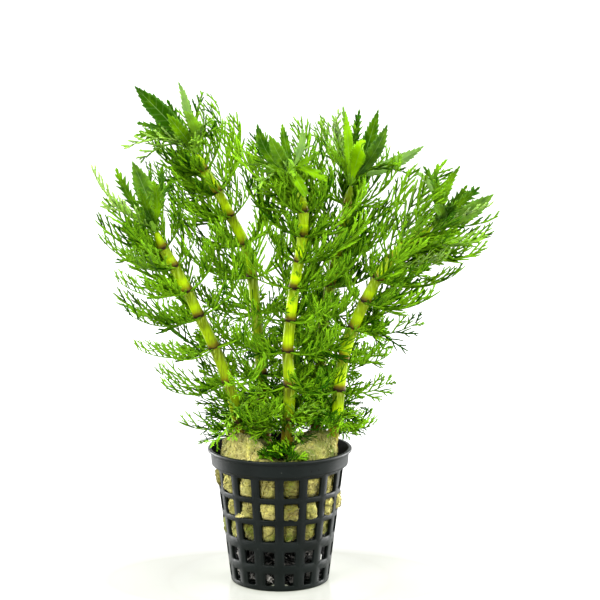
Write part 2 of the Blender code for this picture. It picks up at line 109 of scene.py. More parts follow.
@dataclass(frozen=True)
class LeafPlan:
    """One leaf of a crown: its tip and width in millimetres, and how it is cut and turned.

    The facing is 1 where the upper side faces the front, -1 where the underside does, and
    0 where it is left as it grows. The tone runs from 0, deep, to 1, bright, and the frost
    from 0 to 1, pale towards the tip, partly as a painted highlight. The bow is how far its
    middle is moved to the right and up.
    """

    tip: tuple[float, float, float]
    width: float
    kind: LeafKind
    facing: float = 0.0
    tone: float = 0.5
    frost: float = 0.0
    bow: tuple[float, float] = (0.0, 0.0)


# The leaves of each crown, in rows with the values of LeafPlan
CROWN_PLANS = {
    "left": (
        ((-53.4, -13, 160), 6.6, BROAD, 0.9, 0.35, 0.1), ((-67, -17, 156.5), 7.0, CUT, 0.3, 0.55, 0.8),
        ((-60, -5, 157), 5.5, LOBED, 0.5, 0.35), ((-43.5, 3, 157), 5.5, LOBED, 0.4, 0.10),
        ((-45, -25, 154), 6.0, LOBED, 0.9, 0.45), ((-58.5, -29, 146), 7.0, CUT, 0.5, 0.50, 0.3),
        ((-42.5, -20, 146), 3.6, LOBED, 0.9, 0.70), ((-50.5, -20, 151), 5.5, LOBED, 0.9, 0.25),
        ((-39.5, -8, 152), 5.0, LOBED, 0.6, 0.12), ((-47.5, -5, 156), 5.0, LOBED, 0.6, 0.15),
        ((-63.0, -12, 143), 7.0, CUT, 0.5, 0.55, 0.8), ((-53.0, -22, 141), 6.5, LOBED, 0.9, 0.32),
    ),
    "back_left": (
        ((-54, 8, 186.8), 6.8, BROAD, 1.0, -0.20, 0.0, (2.4, 3.2)),
        ((-37.9, 14, 187.8), 3.2, BROAD, 0.6, 0.35, 0.7, (-2.4, 0.0)),
        ((-42.0, 0, 177.0), 4.4, BROAD, 1.0, 0.55, 0.0, (0.8, 0.0)),
        ((-54, 17, 172), 5.2, LOBED, 0.9, 0.20), ((-28, 2, 179), 5.4, CUT, 0.6, 0.25, 0.2),
        ((-35.2, 0, 177.5), 4.4, BROAD, 0.8, 0.95, 0.20, (2.6, 0.0)),
        ((-29.5, 24, 182.5), 5.0, CUT, 0.5, 0.15), ((-54, 4, 168), 6.0, LOBED, 0.9, 0.18),
        ((-56.5, 0, 164), 6.0, CUT, 0.6, 0.45, 0.5), ((-42.5, 16, 181), 3.6, LOBED, 0.7, 0.12),
        ((-34.5, 16, 181), 3.6, LOBED, 0.7, 0.08), ((-50, -2, 160), 7.0, CUT, 0.5, 0.25, 0.2),
        ((-22, 8, 171), 5.0, CUT, 0.5, 0.45), ((-25, 4, 174), 5.0, CUT, 0.5, 0.30, 0.2),
        ((-29.5, -2, 166), 5.0, CUT, 0.8, 0.70, 0.2),
    ),
    "centre": (
        ((-7.9, -12, 173.5), 4.0, BROAD, 1.0, 0.02), ((-4.5, -20, 170), 4.8, BROAD, 0.9, 0.40, 0.05),
        ((1, -2, 173), 3.0, BROAD, 0.9, 0.12), ((6.0, -5, 172.5), 2.6, BROAD, 0.8, 0.25, 0.6),
        ((-10.5, -3, 163), 6.0, CUT, 0.8, 0.30), ((13.5, -19, 163), 4.8, LOBED, 0.8, 0.50),
        ((1.5, -17, 160), 2.8, LOBED, 0.9, 0.85, 0.5), ((17.5, -14, 153), 5.2, LOBED, 0.8, 0.70),
        ((10.0, -17, 147.5), 3.4, BROAD, 1.0, 0.55), ((-6.5, -14, 156), 4.6, LOBED, 0.8, 0.35),
        ((10.5, 2, 164), 5.0, CUT, 0.6, 0.40, 0.4), ((-13.5, -8, 158), 5.6, CUT, 0.7, 0.35, 0.1),
        ((-8.5, -17, 150), 5.0, CUT, 0.7, 0.60, 0.3), ((5.5, -20, 155), 3.6, LOBED, 0.9, 0.75, 0.1),
    ),
    "back_right": (
        ((24.5, 8, 176.5), 3.4, BROAD, 0.9, 1.30, 0.05), ((32.5, 23, 176), 4.6, LOBED, 0.7, 0.06),
        ((37.0, 12.5, 177.5), 4.8, BROAD, 1.0, 0.12), ((40, 3, 172.5), 5.0, BROAD, 0.9, 0.22, 0.1),
        # The first leaf on the next line has a tone of 2.00, which paints light on it where it lies in the
        # shade of the leaves around it
        ((31.5, -10, 166.5), 5.6, BROAD, 1.0, 2.00), ((55, 24, 163), 4.4, BROAD, -0.8, 0.30, 0.55),
        ((16, 24, 172), 4.8, CUT, 0.5, 0.35, 0.7), ((19.5, 22, 175), 3.4, LOBED, 0.7, 0.35, 0.6),
        ((23.8, 20, 178.5), 3.0, LOBED, 0.7, 0.25, 0.3), ((35.5, 20, 174), 3.6, LOBED, 0.7, 0.10),
        ((43.5, 8, 157), 5.0, CUT, 0.6, 0.30), ((12.5, 22, 167), 4.6, CUT, 0.5, 0.40, 0.6),
        ((47.5, 8, 154), 5.2, CUT, 0.6, 0.25), ((17.0, 6, 163), 4.8, LOBED, 0.8, 0.55),
        ((19.0, 14, 171), 5.0, CUT, 0.6, 0.25, 0.3), ((15.0, 10, 172), 5.0, CUT, 0.6, 0.45, 0.5),
        ((21.5, 14, 175), 4.6, CUT, 0.6, 0.40, 0.5), ((29.0, 18, 173), 4.6, CUT, 0.6, 0.10),
        ((14.5, 14, 161), 5.0, CUT, 0.6, 0.55, 0.2),
    ),
    "right": (
        ((79.3, -2, 147), 5.8, BROAD, 0.9, 0.35, 0.25), ((67.3, 5, 157), 3.0, BROAD, 0.6, 0.28),
        ((58.5, -3, 158.5), 3.8, LOBED, 0.8, 0.25), ((73.5, -10, 150.5), 5.0, LOBED, 0.8, 0.20),
        ((79.3, -8, 139), 5.0, CUT, 0.6, 0.35), ((72, 12, 146), 5.0, CUT, 0.6, 0.10),
        ((53.0, 2, 157), 3.6, LOBED, 0.7, 0.25), ((49.5, 6, 156), 2.4, BROAD, 0.6, 0.35, 0.8),
        ((56.0, -8, 153), 5.0, LOBED, 0.8, 0.35), ((69.0, -8, 151), 4.4, LOBED, 0.9, 0.06),
        ((77.0, -8, 143), 5.0, CUT, 0.5, 0.45, 0.6), ((55.5, -16, 143), 5.0, BROAD, 1.0, 0.22, 0.1),
        ((64.0, -16, 146), 4.6, LOBED, 0.8, 0.25),
    ),
}


def unit(vectors: Array) -> Array:
    """The vectors along the last axis, scaled to length one."""
    return vectors / np.maximum(np.linalg.norm(vectors, axis=-1, keepdims=True), 1e-12)


def smooth_line(points: Array, spacing: float) -> tuple[Array, Array]:
    """Sample a smooth curve through points.

    Args:
        points: The points that the curve passes.
        spacing: Distance between samples, in metres.

    Returns:
        The samples, and for each the index of its place among the points.
    """
    padded = np.vstack([2 * points[0] - points[1], points, 2 * points[-1] - points[-2]])
    samples = []
    places = []
    for index in range(len(points) - 1):
        before, start, end, after = padded[index:index + 4]
        count = max(2, round(float(np.linalg.norm(end - start)) / spacing))
        share = np.linspace(0.0, 1.0, count, endpoint=False)[:, None]
        samples.append(0.5 * (
            2 * start + (end - before) * share
            + (2 * before - 5 * start + 4 * end - after) * share**2
            + (3 * start - before - 3 * end + after) * share**3
        ))
        places.append(index + share[:, 0])
    samples.append(points[-1:])
    places.append(np.array([len(points) - 1.0]))
    return np.vstack(samples), np.concatenate(places)


def lumps(points: Array, size: float) -> Array:
    """Smooth noise at points.

    Args:
        points: Points along the last axis, in metres.
        size: About how wide a lump is, in metres.

    Returns:
        A value from about -1 to 1 for each point.
    """
    flat = points.reshape(-1, 3) / size
    values = [noise.noise(Vector(point)) for point in flat.tolist()]
    return np.array(values).reshape(points.shape[:-1])


class Sheaf:
    """Lofted forms gathered into one mesh.

    A form is rings of points, closed at the far end by one more point. Every
    point carries the named traits, which the materials read as attributes.
    """

    def __init__(self, *trait_names: str) -> None:
        """Start an empty sheaf.

        Args:
            trait_names: Names of the traits that every point carries.
        """
        self.trait_names = trait_names
        self.points: list[Array] = []
        self.traits: list[Array] = []
        self.faces: list[Array] = []
        self.count = 0

    def add_forms(self, rings: Array, ends: Array, traits: Array) -> None:
        """Add forms that have as many rings and sides as one another.

        Args:
            rings: Points by form, step, side and coordinate.
            ends: The closing point of each form.
            traits: Traits by form, step, side and trait, with one more step for the ends.
        """
        forms, steps, sides, _ = rings.shape
        size = steps * sides + 1
        starts = self.count + np.arange(forms)[:, None, None] * size
        step, side = np.meshgrid(np.arange(steps - 1), np.arange(sides), indexing="ij")
        lower = step * sides + side
        lower_next = step * sides + (side + 1) % sides
        walls = np.stack([lower, lower_next, lower_next + sides, lower + sides], -1).reshape(-1, 4)
        last = (steps - 1) * sides + np.arange(sides)
        tips = np.stack([last, np.roll(last, -1), np.full(sides, size - 1)], -1)
        foot = np.arange(sides)[::-1][None]
        for faces in (walls, tips, foot):
            self.faces.append((starts + faces).reshape(-1, faces.shape[1]))
        self.points.append(np.concatenate([rings.reshape(forms, -1, 3), ends[:, None]], axis=1).reshape(-1, 3))
        kinds = len(self.trait_names)
        wall_traits = traits[:, :-1].reshape(forms, -1, kinds)
        self.traits.append(np.concatenate([wall_traits, traits[:, -1, :1]], axis=1).reshape(-1, kinds))
        self.count += forms * size

    def add_strands(
        self, lines: Array, half_widths: Array, upward: Array,
        flatness: float, sides: int, traits: Array,
    ) -> None:
        """Add tapered strands. The last trait, how far a point is on the underside, is added here.

        Args:
            lines: Middle lines by strand, step and coordinate, with the tip last.
            half_widths: Half the width at each step before the tip.
            upward: The way the flat side of each strand faces.
            flatness: Thickness as a share of the width.
            sides: Sides of a strand's section.
            traits: Traits by strand, step and trait, without the last one.
        """
        forward = unit(np.gradient(lines, axis=1))
        side = unit(np.cross(np.broadcast_to(upward[:, None], lines.shape), forward))
        up = np.cross(forward, side)
        turn = (np.arange(sides) + 0.5) * 2 * np.pi / sides
        wide = half_widths[:, :, None, None]
        rings = lines[:, :-1, None] + wide * (
            side[:, :-1, None] * np.cos(turn)[:, None]
            + up[:, :-1, None] * (flatness * np.sin(turn))[:, None]
        )
        spread = np.repeat(traits[:, :, None], sides, axis=2)
        under = np.broadcast_to((0.5 - 0.5 * np.sin(turn))[:, None], (*spread.shape[:3], 1))
        self.add_forms(rings, lines[:, -1], np.concatenate([spread, under], axis=-1))

    def make_piece(self, name: str) -> Object:
        """Make one object of everything added.

        Args:
            name: The object's name.

        Returns:
            The object, shaded smooth and linked to the scene.
        """
        faces = [tuple(face) for block in self.faces for face in block.tolist()]
        mesh = bpy.data.meshes.new(name)
        mesh.from_pydata(np.concatenate(self.points).tolist(), [], faces)
        traits = np.concatenate(self.traits)
        for index, trait in enumerate(self.trait_names):
            layer = mesh.attributes.new(trait, "FLOAT", "POINT")
            layer.data.foreach_set("value", traits[:, index].astype(np.float32))
        mesh.shade_smooth()
        return link_piece(name, mesh)


def link_piece(name: str, data: bpy.types.ID) -> Object:
    """Link a new object to the scene.

    Args:
        name: The object's name.
        data: Its mesh, in the frame's coordinates, or its light or camera.

    Returns:
        The object.
    """
    piece = bpy.data.objects.new(name, data)
    bpy.context.scene.collection.objects.link(piece)
    return piece


def dress(piece: Object, material: Material, slot: str, *nodes: str) -> None:
    """Give a piece its material and its body, and hide the solids that it stands for.

    Args:
        piece: The piece.
        material: Its material.
        slot: The record's material slot; it is not used.
        nodes: The solids that it replaces.
    """
    piece.data.materials.append(material)
    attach(piece, BODY)
    if nodes:
        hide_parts(*nodes)
    logger.info("%s: %d faces", piece.name, len(piece.data.polygons))


class Graph:
    """Adds nodes to a node tree in short calls. An input takes a value, a colour or a socket."""

    def __init__(self, tree: Tree) -> None:
        """Keep the tree to add to."""
        self.tree = tree

    def feed(self, socket: Socket, value: object) -> None:
        """Link an input, or set its value.

        Args:
            socket: The input.
            value: The socket or the value that it gets.
        """
        if isinstance(value, Socket):
            self.tree.links.new(value, socket)
        else:
            socket.default_value = solid(value) if socket.type == "RGBA" else value

    def add(self, kind: str, inputs: dict | None = None, **settings: object) -> bpy.types.Node:
        """Add a node.

        Args:
            kind: The node's type.
            inputs: What its inputs get, by name or number.
            settings: The node's own settings.

        Returns:
            The node.
        """
        node = self.tree.nodes.new(kind)
        for setting, value in settings.items():
            setattr(node, setting, value)
        for key, value in (inputs or {}).items():
            self.feed(node.inputs[key], value)
        return node

    def place(self) -> Socket:
        """The place on the piece, in the frame's coordinates."""
        return self.add("ShaderNodeTexCoord").outputs["Object"]

    def trait(self, name: str) -> Socket:
        """The value of a mesh attribute."""
        return self.add("ShaderNodeAttribute", attribute_name=name).outputs["Fac"]

    def math(self, operation: str, first: object, second: object = 0.0) -> Socket:
        """The result of an operation on two values."""
        return self.add("ShaderNodeMath", {0: first, 1: second}, operation=operation).outputs[0]

    def plus(self, first: object, second: object) -> Socket:
        """The sum of two values."""
        return self.math("ADD", first, second)

    def minus(self, first: object, second: object) -> Socket:
        """The first value less the second."""
        return self.math("SUBTRACT", first, second)

    def times(self, first: object, second: object) -> Socket:
        """The product of two values."""
        return self.math("MULTIPLY", first, second)

    def drift(self, mask: Socket, size: float) -> Socket:
        """A mask made to run from minus to plus half a size."""
        return self.times(self.minus(mask, 0.5), size)

    def away(self, stretch: tuple) -> Socket:
        """The distance from the origin, with each coordinate stretched."""
        place = self.add("ShaderNodeVectorMath", {0: self.place(), 1: stretch}, operation="MULTIPLY")
        return self.add("ShaderNodeVectorMath", {0: place.outputs[0]}, operation="LENGTH").outputs["Value"]

    def cloud(self, place: Socket, scale: object, detail: float, distortion: float = 0.0) -> Socket:
        """Smooth noise at places."""
        inputs = {"Vector": place, "Scale": scale, "Detail": detail, "Distortion": distortion}
        return self.add("ShaderNodeTexNoise", inputs).outputs["Fac"]

    def between(
        self, value: Socket, low: object, high: object, out_low: float = 0.0, out_high: float = 1.0,
    ) -> Socket:
        """A value's place between low and high, clamped and given the range from out_low to out_high."""
        ends = {"Value": value, "From Min": low, "From Max": high, "To Min": out_low, "To Max": out_high}
        return self.add("ShaderNodeMapRange", ends).outputs["Result"]

    def mix(self, share: object, first: object, second: object) -> Socket:
        """The first colour with a share of the second one."""
        return self.add("ShaderNodeMix", {0: share, 6: first, 7: second}, data_type="RGBA").outputs[2]

    def effect(self, effect: "Effect", **inputs: object) -> Socket:
        """The output of a shared effect whose inputs are given by name."""
        named = {name.title(): value for name, value in inputs.items()}
        return self.add("ShaderNodeGroup", named, node_tree=effect.tree()).outputs[0]

    def patches(self, scale: float, low: float, high: float) -> Socket:
        """A mask of soft patches."""
        return self.effect(Effect.MOTTLE, scale=scale, low=low, high=high)

    def grain(self, scale: float, coarse: float) -> Socket:
        """The height of a finely uneven surface."""
        return self.effect(Effect.RELIEF, scale=scale, coarse=coarse)

    def bump(self, height: Socket, strength: float, depth: float) -> Socket:
        """A normal bent by a height from 0 to 1 that is some metres deep."""
        inputs = {"Height": height, "Strength": strength, "Distance": depth}
        return self.add("ShaderNodeBump", inputs).outputs["Normal"]


def solid(colour: tuple) -> tuple:
    """A colour with its alpha."""
    return (*colour[:3], 1.0)


class Effect(Enum):
    """Effects that several materials share, each a node group built once."""

    MOTTLE = "mottle"
    RELIEF = "relief"
    FIBRES = "fibres"
    LEAF_TINT = "leaf_tint"

    def tree(self) -> Tree:
        """The effect's node group, built when it is first asked for."""
        made = bpy.data.node_groups.get(self.value)
        return EffectGroup(self).tree if made is None else made


class EffectGroup(Graph):
    """The node group of an effect, with named inputs and one output."""

    def __init__(self, effect: Effect) -> None:
        """Build the group of an effect."""
        super().__init__(bpy.data.node_groups.new(effect.value, "ShaderNodeTree"))
        getattr(self, f"build_{effect.value}")()

    def sockets(self, output: str, **inputs: object) -> tuple[dict[str, Socket], Socket]:
        """Add the group's sockets.

        Args:
            output: The output's name. Colour is a colour, and any other a value.
            inputs: Default values by name. A tuple is a colour.

        Returns:
            The inputs by name, and the socket that takes the result.
        """
        kinds = {True: "NodeSocketColor", False: "NodeSocketFloat"}
        for name, value in inputs.items():
            colour = isinstance(value, tuple)
            socket = self.tree.interface.new_socket(name, in_out="INPUT", socket_type=kinds[colour])
            socket.default_value = solid(value) if colour else value
        self.tree.interface.new_socket(output, in_out="OUTPUT", socket_type=kinds[output == "Colour"])
        entry = self.add("NodeGroupInput")
        leave = self.add("NodeGroupOutput")
        return {name: entry.outputs[name] for name in inputs}, leave.inputs[output]

    def build_mottle(self) -> None:
        """Soft patches: a mask from 0 to 1."""
        given, result = self.sockets("Mask", Scale=100.0, Low=0.4, High=0.6)
        cloud = self.cloud(self.place(), given["Scale"], 4.0)
        self.feed(result, self.between(cloud, given["Low"], given["High"]))

    def build_relief(self) -> None:
        """Fine unevenness of a surface: a height from 0 to 1."""
        given, result = self.sockets("Height", Scale=1000.0, Coarse=0.3)
        place = self.place()
        fine = self.cloud(place, given["Scale"], 3.0)
        coarse = self.cloud(place, self.times(given["Scale"], given["Coarse"]), 2.0)
        self.feed(result, self.times(self.plus(fine, coarse), 0.5))

    def build_fibres(self) -> None:
        """Fine matted fibres that run several ways: a mask from 0 to 1."""
        given, result = self.sockets("Mask", Scale=900.0, Sharpness=12.0)
        place = self.place()
        layers = []
        for turn in ((0.4, 0.2, 0.3), (1.3, 0.9, 1.9), (2.2, 1.7, 0.8)):
            laid = self.add("ShaderNodeMapping", {"Vector": place, "Rotation": turn, "Scale": (1.0, 0.16, 1.0)})
            cloud = self.cloud(laid.outputs[0], given["Scale"], 2.0, 0.4)
            off = self.math("ABSOLUTE", self.minus(cloud, 0.5))
            layers.append(self.minus(1.0, self.times(off, given["Sharpness"])))
        top = self.math("MAXIMUM", layers[0], self.math("MAXIMUM", layers[1], layers[2]))
        self.feed(result, self.between(top, 0.0, 1.0))

    def build_leaf_tint(self) -> None:
        """A leaf's green: deep to bright by its tone, pale by its frost and painted highlight, and dull on the
        underside.
        """
        given, result = self.sockets(
            "Colour", Tone=0.5, Along=0.0, Frost=0.0, Under=0.0, Deep=(0.01, 0.06, 0.0),
            Bright=(0.2, 0.5, 0.0), Pale=(0.4, 0.6, 0.2), Dull=(0.1, 0.2, 0.08),
        )
        drift = self.drift(self.patches(170.0, 0.30, 0.70), 0.4)
        share = self.between(self.plus(given["Tone"], drift), 0.0, 1.0)
        green = self.mix(share, given["Deep"], given["Bright"])
        below = self.mix(self.times(given["Under"], 0.45), green, given["Dull"])
        frost = self.times(given["Frost"], self.between(given["Along"], 0.0, 1.0, 0.15, 0.85))
        self.feed(result, self.mix(frost, below, given["Pale"]))


class FinishGraph(Graph):
    """The graph of a new material, with the material and its shader."""

    SOCKETS = {
        "colour": "Base Color", "roughness": "Roughness", "normal": "Normal",
        "specular": "Specular IOR Level", "scatter": "Subsurface Weight",
        "scatter_radius": "Subsurface Radius", "scatter_scale": "Subsurface Scale",
        "sheen": "Sheen Weight", "shine": "Emission Color", "shine_strength": "Emission Strength",
    }

    def __init__(self, name: str) -> None:
        """Make the material.

        Args:
            name: Its name.
        """
        self.material = bpy.data.materials.new(name)
        self.material.use_nodes = True
        super().__init__(self.material.node_tree)
        self.shader = self.tree.nodes["Principled BSDF"]

    def wire(self, **sources: object) -> None:
        """Set or link inputs of the shader, by the names in SOCKETS."""
        for name, source in sources.items():
            self.feed(self.shader.inputs[self.SOCKETS[name]], source)


@dataclass(frozen=True)
class PlasticFinish:
    """Satin black moulded plastic with a little dust, small pits, pale flecks of dust and painted glints."""

    name: str = "pot_plastic"
    dark: tuple = (0.0015, 0.0030, 0.0022)
    worn: tuple = (0.0036, 0.0058, 0.0050)
    # Dust, and the colour of the painted glints
    dust: tuple = (0.10, 0.11, 0.095)
    pit: tuple = (0.0, 0.0, 0.0)
    # The colour of the rim's inner side: a painted shade, nearly black
    damp: tuple = (0.001, 0.001, 0.001)
    pit_radius: float = 0.45 * MM
    fleck_radius: float = 0.14 * MM
    inner_radius: float = 25.0 * MM
    inner_height: float = 45.0 * MM
    inner_flare: float = 0.145
    pits: tuple = ((0.0144, -0.0217, 0.0470), (0.0246, -0.0087, 0.0492), (0.0118, -0.0232, 0.0468))
    # Pale flecks of dust, and painted glints: the first beside a pit, the next four in a row along a mould line
    # on the band
    flecks: tuple = (
        (0.0151, -0.0212, 0.0466), (-0.0171, -0.0192, 0.0462), (-0.0141, -0.0214, 0.0462),
        (-0.0126, -0.0223, 0.0461), (-0.0110, -0.0232, 0.0460), (0.0029, -0.0222, 0.0262),
        (0.0116, -0.0181, 0.0181), (0.0008, -0.0259, 0.0470),
    )

    def build(self) -> Material:
        """Build the material.

        Returns:
            The material.
        """
        graph = FinishGraph(self.name)
        patches = graph.patches(90.0, 0.35, 0.65)
        specks = graph.patches(1300.0, 0.72, 0.75)
        base = graph.mix(patches, self.dark, self.worn)
        dusty = graph.mix(graph.times(specks, 0.45), base, self.dust)
        pitted = self.spots(graph, self.pits, self.pit_radius)
        # Pale flecks of dust and painted glints, in the dust's colour
        flecked = self.spots(graph, self.flecks, self.fleck_radius)
        height = graph.minus(graph.grain(2600.0, 0.12), graph.times(pitted, 4.0))
        marked = graph.mix(flecked, graph.mix(pitted, dusty, self.pit), self.dust)
        inside = self.inside(graph)
        satin = graph.between(patches, 0.0, 1.0, 0.36, 0.48)
        # The rim's inner side gets its painted shade in the colour, and a dull surface
        graph.wire(
            specular=0.11, colour=graph.mix(inside, marked, self.damp),
            roughness=graph.math("MAXIMUM", satin, inside), normal=graph.bump(height, 0.25, 0.06 * MM),
        )
        return graph.material

    def inside(self, graph: Graph) -> Socket:
        """A mask of the rim's inner side, which is made dull and given a near-black painted shade.

        Args:
            graph: The material's graph.

        Returns:
            The mask's socket.
        """
        height = graph.add("ShaderNodeSeparateXYZ", {0: graph.place()}).outputs["Z"]
        above = graph.minus(height, self.inner_height)
        even = graph.minus(graph.away((1.0, 1.0, 0.0)), graph.times(above, self.inner_flare))
        near = graph.between(even, self.inner_radius, self.inner_radius + 0.1 * MM, 1.0, 0.0)
        return graph.times(near, graph.between(above, -0.3 * MM, 0.0))

    def spots(self, graph: Graph, centres: tuple, radius: float) -> Socket:
        """A mask of round spots.

        Args:
            graph: The material's graph.
            centres: The spots' middles.
            radius: Their radius.

        Returns:
            The mask's socket.
        """
        place = graph.place()
        mask = graph.plus(0.0, 0.0)
        for centre in centres:
            gap = graph.add("ShaderNodeVectorMath", {0: place, 1: centre}, operation="DISTANCE")
            spot = graph.between(gap.outputs["Value"], 0.6 * radius, radius, 1.0, 0.0)
            mask = graph.math("MAXIMUM", mask, spot)
        return mask


@dataclass(frozen=True)
class WoolFinish:
    """Cream mineral wool, greener and browner in patches, with painted shade in its hollows, its front seam and
    its windows.
    """

    name: str = "wool_fibre"
    cream: tuple = (0.47, 0.415, 0.062)
    # Ochre, also the colour of the painted shade
    ochre: tuple = (0.075, 0.056, 0.002)
    # Moss green, also the colour of the painted shade and bounced light on the wool's top
    moss: tuple = (0.085, 0.125, 0.005)
    thread: tuple = (0.88, 0.82, 0.31)

    def build(self) -> Material:
        """Build the material.

        Returns:
            The material.
        """
        graph = FinishGraph(self.name)
        loose = graph.trait("loose")
        strands = graph.effect(Effect.FIBRES, scale=850.0, sharpness=8.0)
        relief = graph.grain(650.0, 0.35)
        base = graph.mix(graph.times(graph.patches(230.0, 0.37, 0.57), 0.85), self.cream, self.ochre)
        # Painted shade: ochre in the relief's hollows and where the loose trait is below 0, where the fine
        # fibres show less
        shaded = graph.mix(graph.between(relief, 0.42, 0.53, 0.80, 0.0), base, self.ochre)
        shadowed = graph.mix(graph.between(loose, -0.9, -0.05, 1.0, 0.0), shaded, self.ochre)
        lit = graph.between(loose, -1.0, 0.0, 0.02, 0.34)
        laid = graph.math("MAXIMUM", graph.times(strands, lit), loose)
        matted = graph.mix(laid, shadowed, self.thread)
        # Moss stain, with painted shade and bounced light, by the damp trait
        damp = graph.times(graph.patches(90.0, 0.36, 0.56), graph.trait("damp"))
        height = graph.plus(relief, graph.times(strands, 0.45))
        graph.wire(
            roughness=0.95, specular=0.12, sheen=0.10, scatter=0.10, scatter_radius=(1.0, 0.7, 0.3),
            scatter_scale=0.8 * MM, colour=graph.mix(damp, matted, self.moss),
            normal=graph.bump(height, 1.0, 0.55 * MM),
        )
        return graph.material


@dataclass(frozen=True)
class StemFinish:
    """Yellow-green skin with a painted glow, brown above the nodes, streaked below them, reddish at the foot,
    and olive with age and with painted shade on the stems at the back.
    """

    name: str = "stem_skin"
    # Lime to yellow: the painted glow of lit skin; olive: age and painted shade
    lime: tuple = (0.15, 0.27, 0.0)
    yellow: tuple = (0.52, 0.76, 0.0)
    olive: tuple = (0.105, 0.100, 0.002)
    amber: tuple = (0.160, 0.135, 0.002)
    brown: tuple = (0.038, 0.020, 0.004)
    node: tuple = (0.012, 0.006, 0.002)
    straw: tuple = (0.34, 0.45, 0.05)
    red: tuple = (0.16, 0.052, 0.008)

    def build(self) -> Material:
        """Build the material.

        Returns:
            The material.
        """
        graph = FinishGraph(self.name)
        drawn = graph.add("ShaderNodeMapping", {"Vector": graph.place(), "Scale": (1.0, 1.0, 0.10)})
        lines = graph.cloud(drawn.outputs[0], 1500.0, 2.0)
        ragged = graph.drift(graph.patches(260.0, 0.35, 0.65), 0.35)
        age = graph.trait("age")
        # Painted glow, turned olive by age and painted shade
        aged = graph.mix(age, graph.mix(graph.trait("glow"), self.lime, self.yellow), self.olive)
        pale = graph.times(graph.between(lines, 0.54, 0.62), graph.trait("below"))
        brushed = graph.mix(graph.times(pale, 0.75), aged, self.straw)
        dark = graph.times(graph.between(lines, 0.48, 0.40), graph.between(age, 0.0, 1.0, 0.15, 0.75))
        flushed = graph.mix(graph.trait("flush"), graph.mix(dark, brushed, self.brown), self.red)
        above = graph.trait("fade")
        fade = graph.plus(above, graph.times(ragged, above))
        warm = graph.mix(graph.between(fade, 0.14, 0.62), flushed, self.amber)
        browned = graph.mix(graph.between(fade, 0.46, 0.90), warm, self.brown)
        band = graph.between(graph.plus(graph.trait("band"), ragged), 0.25, 0.75)
        graph.wire(
            specular=0.10, scatter=0.12, scatter_radius=(0.8, 1.0, 0.02), scatter_scale=0.6 * MM,
            colour=graph.mix(band, browned, self.node), roughness=graph.between(band, 0.0, 1.0, 0.38, 0.6),
            normal=graph.bump(graph.grain(1300.0, 0.25), 0.25, 0.12 * MM),
        )
        return graph.material


@dataclass(frozen=True)
class LeafFinish:
    """The green of cut leaves."""

    name: str = "cut_leaf"
    deep: tuple = (0.007, 0.040, 0.0)
    bright: tuple = (0.205, 0.43, 0.010)
    pale: tuple = (0.36, 0.47, 0.17)
    dull: tuple = (0.035, 0.11, 0.003)
    scatter: float = 0.15

    def start(self, graph: FinishGraph, tone: Socket, along: object) -> Socket:
        """Set the leaf's sheen and make its green.

        Args:
            graph: The material's graph.
            tone: How bright the green is.
            along: The place along the leaf.

        Returns:
            The green's socket.
        """
        graph.wire(
            specular=0.01, scatter=self.scatter, scatter_radius=(0.5, 1.0, 0.02), scatter_scale=0.4 * MM,
        )
        return graph.effect(
            Effect.LEAF_TINT, tone=tone, along=along, frost=graph.trait("frost"), under=graph.trait("under"),
            deep=self.deep, bright=self.bright, pale=self.pale, dull=self.dull,
        )

    def build(self) -> Material:
        """Build the material.

        Returns:
            The material.
        """
        graph = FinishGraph(self.name)
        along = graph.trait("along")
        dimmed = graph.minus(graph.trait("tone"), graph.between(along, 0.75, 1.0, 0.0, 0.30))
        gloss = graph.between(graph.patches(500.0, 0.3, 0.7), 0.0, 1.0, 0.60, 0.75)
        graph.wire(colour=self.start(graph, dimmed, along), roughness=gloss)
        return graph.material


@dataclass(frozen=True)
class ShootFinish(LeafFinish):
    """The green of broad young leaves, with a pale midrib, veins and a paler underside."""

    name: str = "shoot_leaf"
    deep: tuple = (0.012, 0.048, 0.0)
    bright: tuple = (0.25, 0.52, 0.0)
    pale: tuple = (0.25, 0.40, 0.12)
    dull: tuple = (0.06, 0.14, 0.02)
    scatter: float = 0.10
    vein_slant: float = 0.09
    veins: float = 62.0

    def build(self) -> Material:
        """Build the material.

        Returns:
            The material.
        """
        graph = FinishGraph(self.name)
        across = graph.trait("across")
        tint = self.start(graph, graph.trait("tone"), 0.5)
        slant = graph.minus(graph.trait("along"), graph.times(across, self.vein_slant))
        wave = graph.math("SINE", graph.times(slant, self.veins))
        vein = graph.between(wave, 0.70, 1.0, 0.0, 0.06)
        veined = graph.mix(vein, tint, self.pale)
        rib = graph.between(across, 0.01, 0.07, 0.24, 0.0)
        relief = graph.grain(900.0, 0.3)
        graph.wire(
            colour=graph.mix(rib, veined, self.pale), roughness=graph.between(relief, 0.3, 0.7, 0.55, 0.70),
            normal=graph.bump(graph.minus(relief, graph.times(vein, 3.0)), 0.25, 0.10 * MM),
        )
        return graph.material


@dataclass(frozen=True)
class RootFinish:
    """Roots, near black to paint the shade in the pot's lower hollow, and a few pale young ones."""

    name: str = "root_skin"
    pale: tuple = (0.50, 0.48, 0.44)
    # Near black: painted shade
    dark: tuple = (0.0025, 0.0035, 0.0025)

    def build(self) -> Material:
        """Build the material.

        Returns:
            The material.
        """
        graph = FinishGraph(self.name)
        drift = graph.drift(graph.patches(300.0, 0.35, 0.65), 0.4)
        share = graph.between(graph.plus(graph.trait("tone"), drift), 0.0, 1.0)
        graph.wire(roughness=0.7, specular=0.12, colour=graph.mix(share, self.pale, self.dark))
        return graph.material


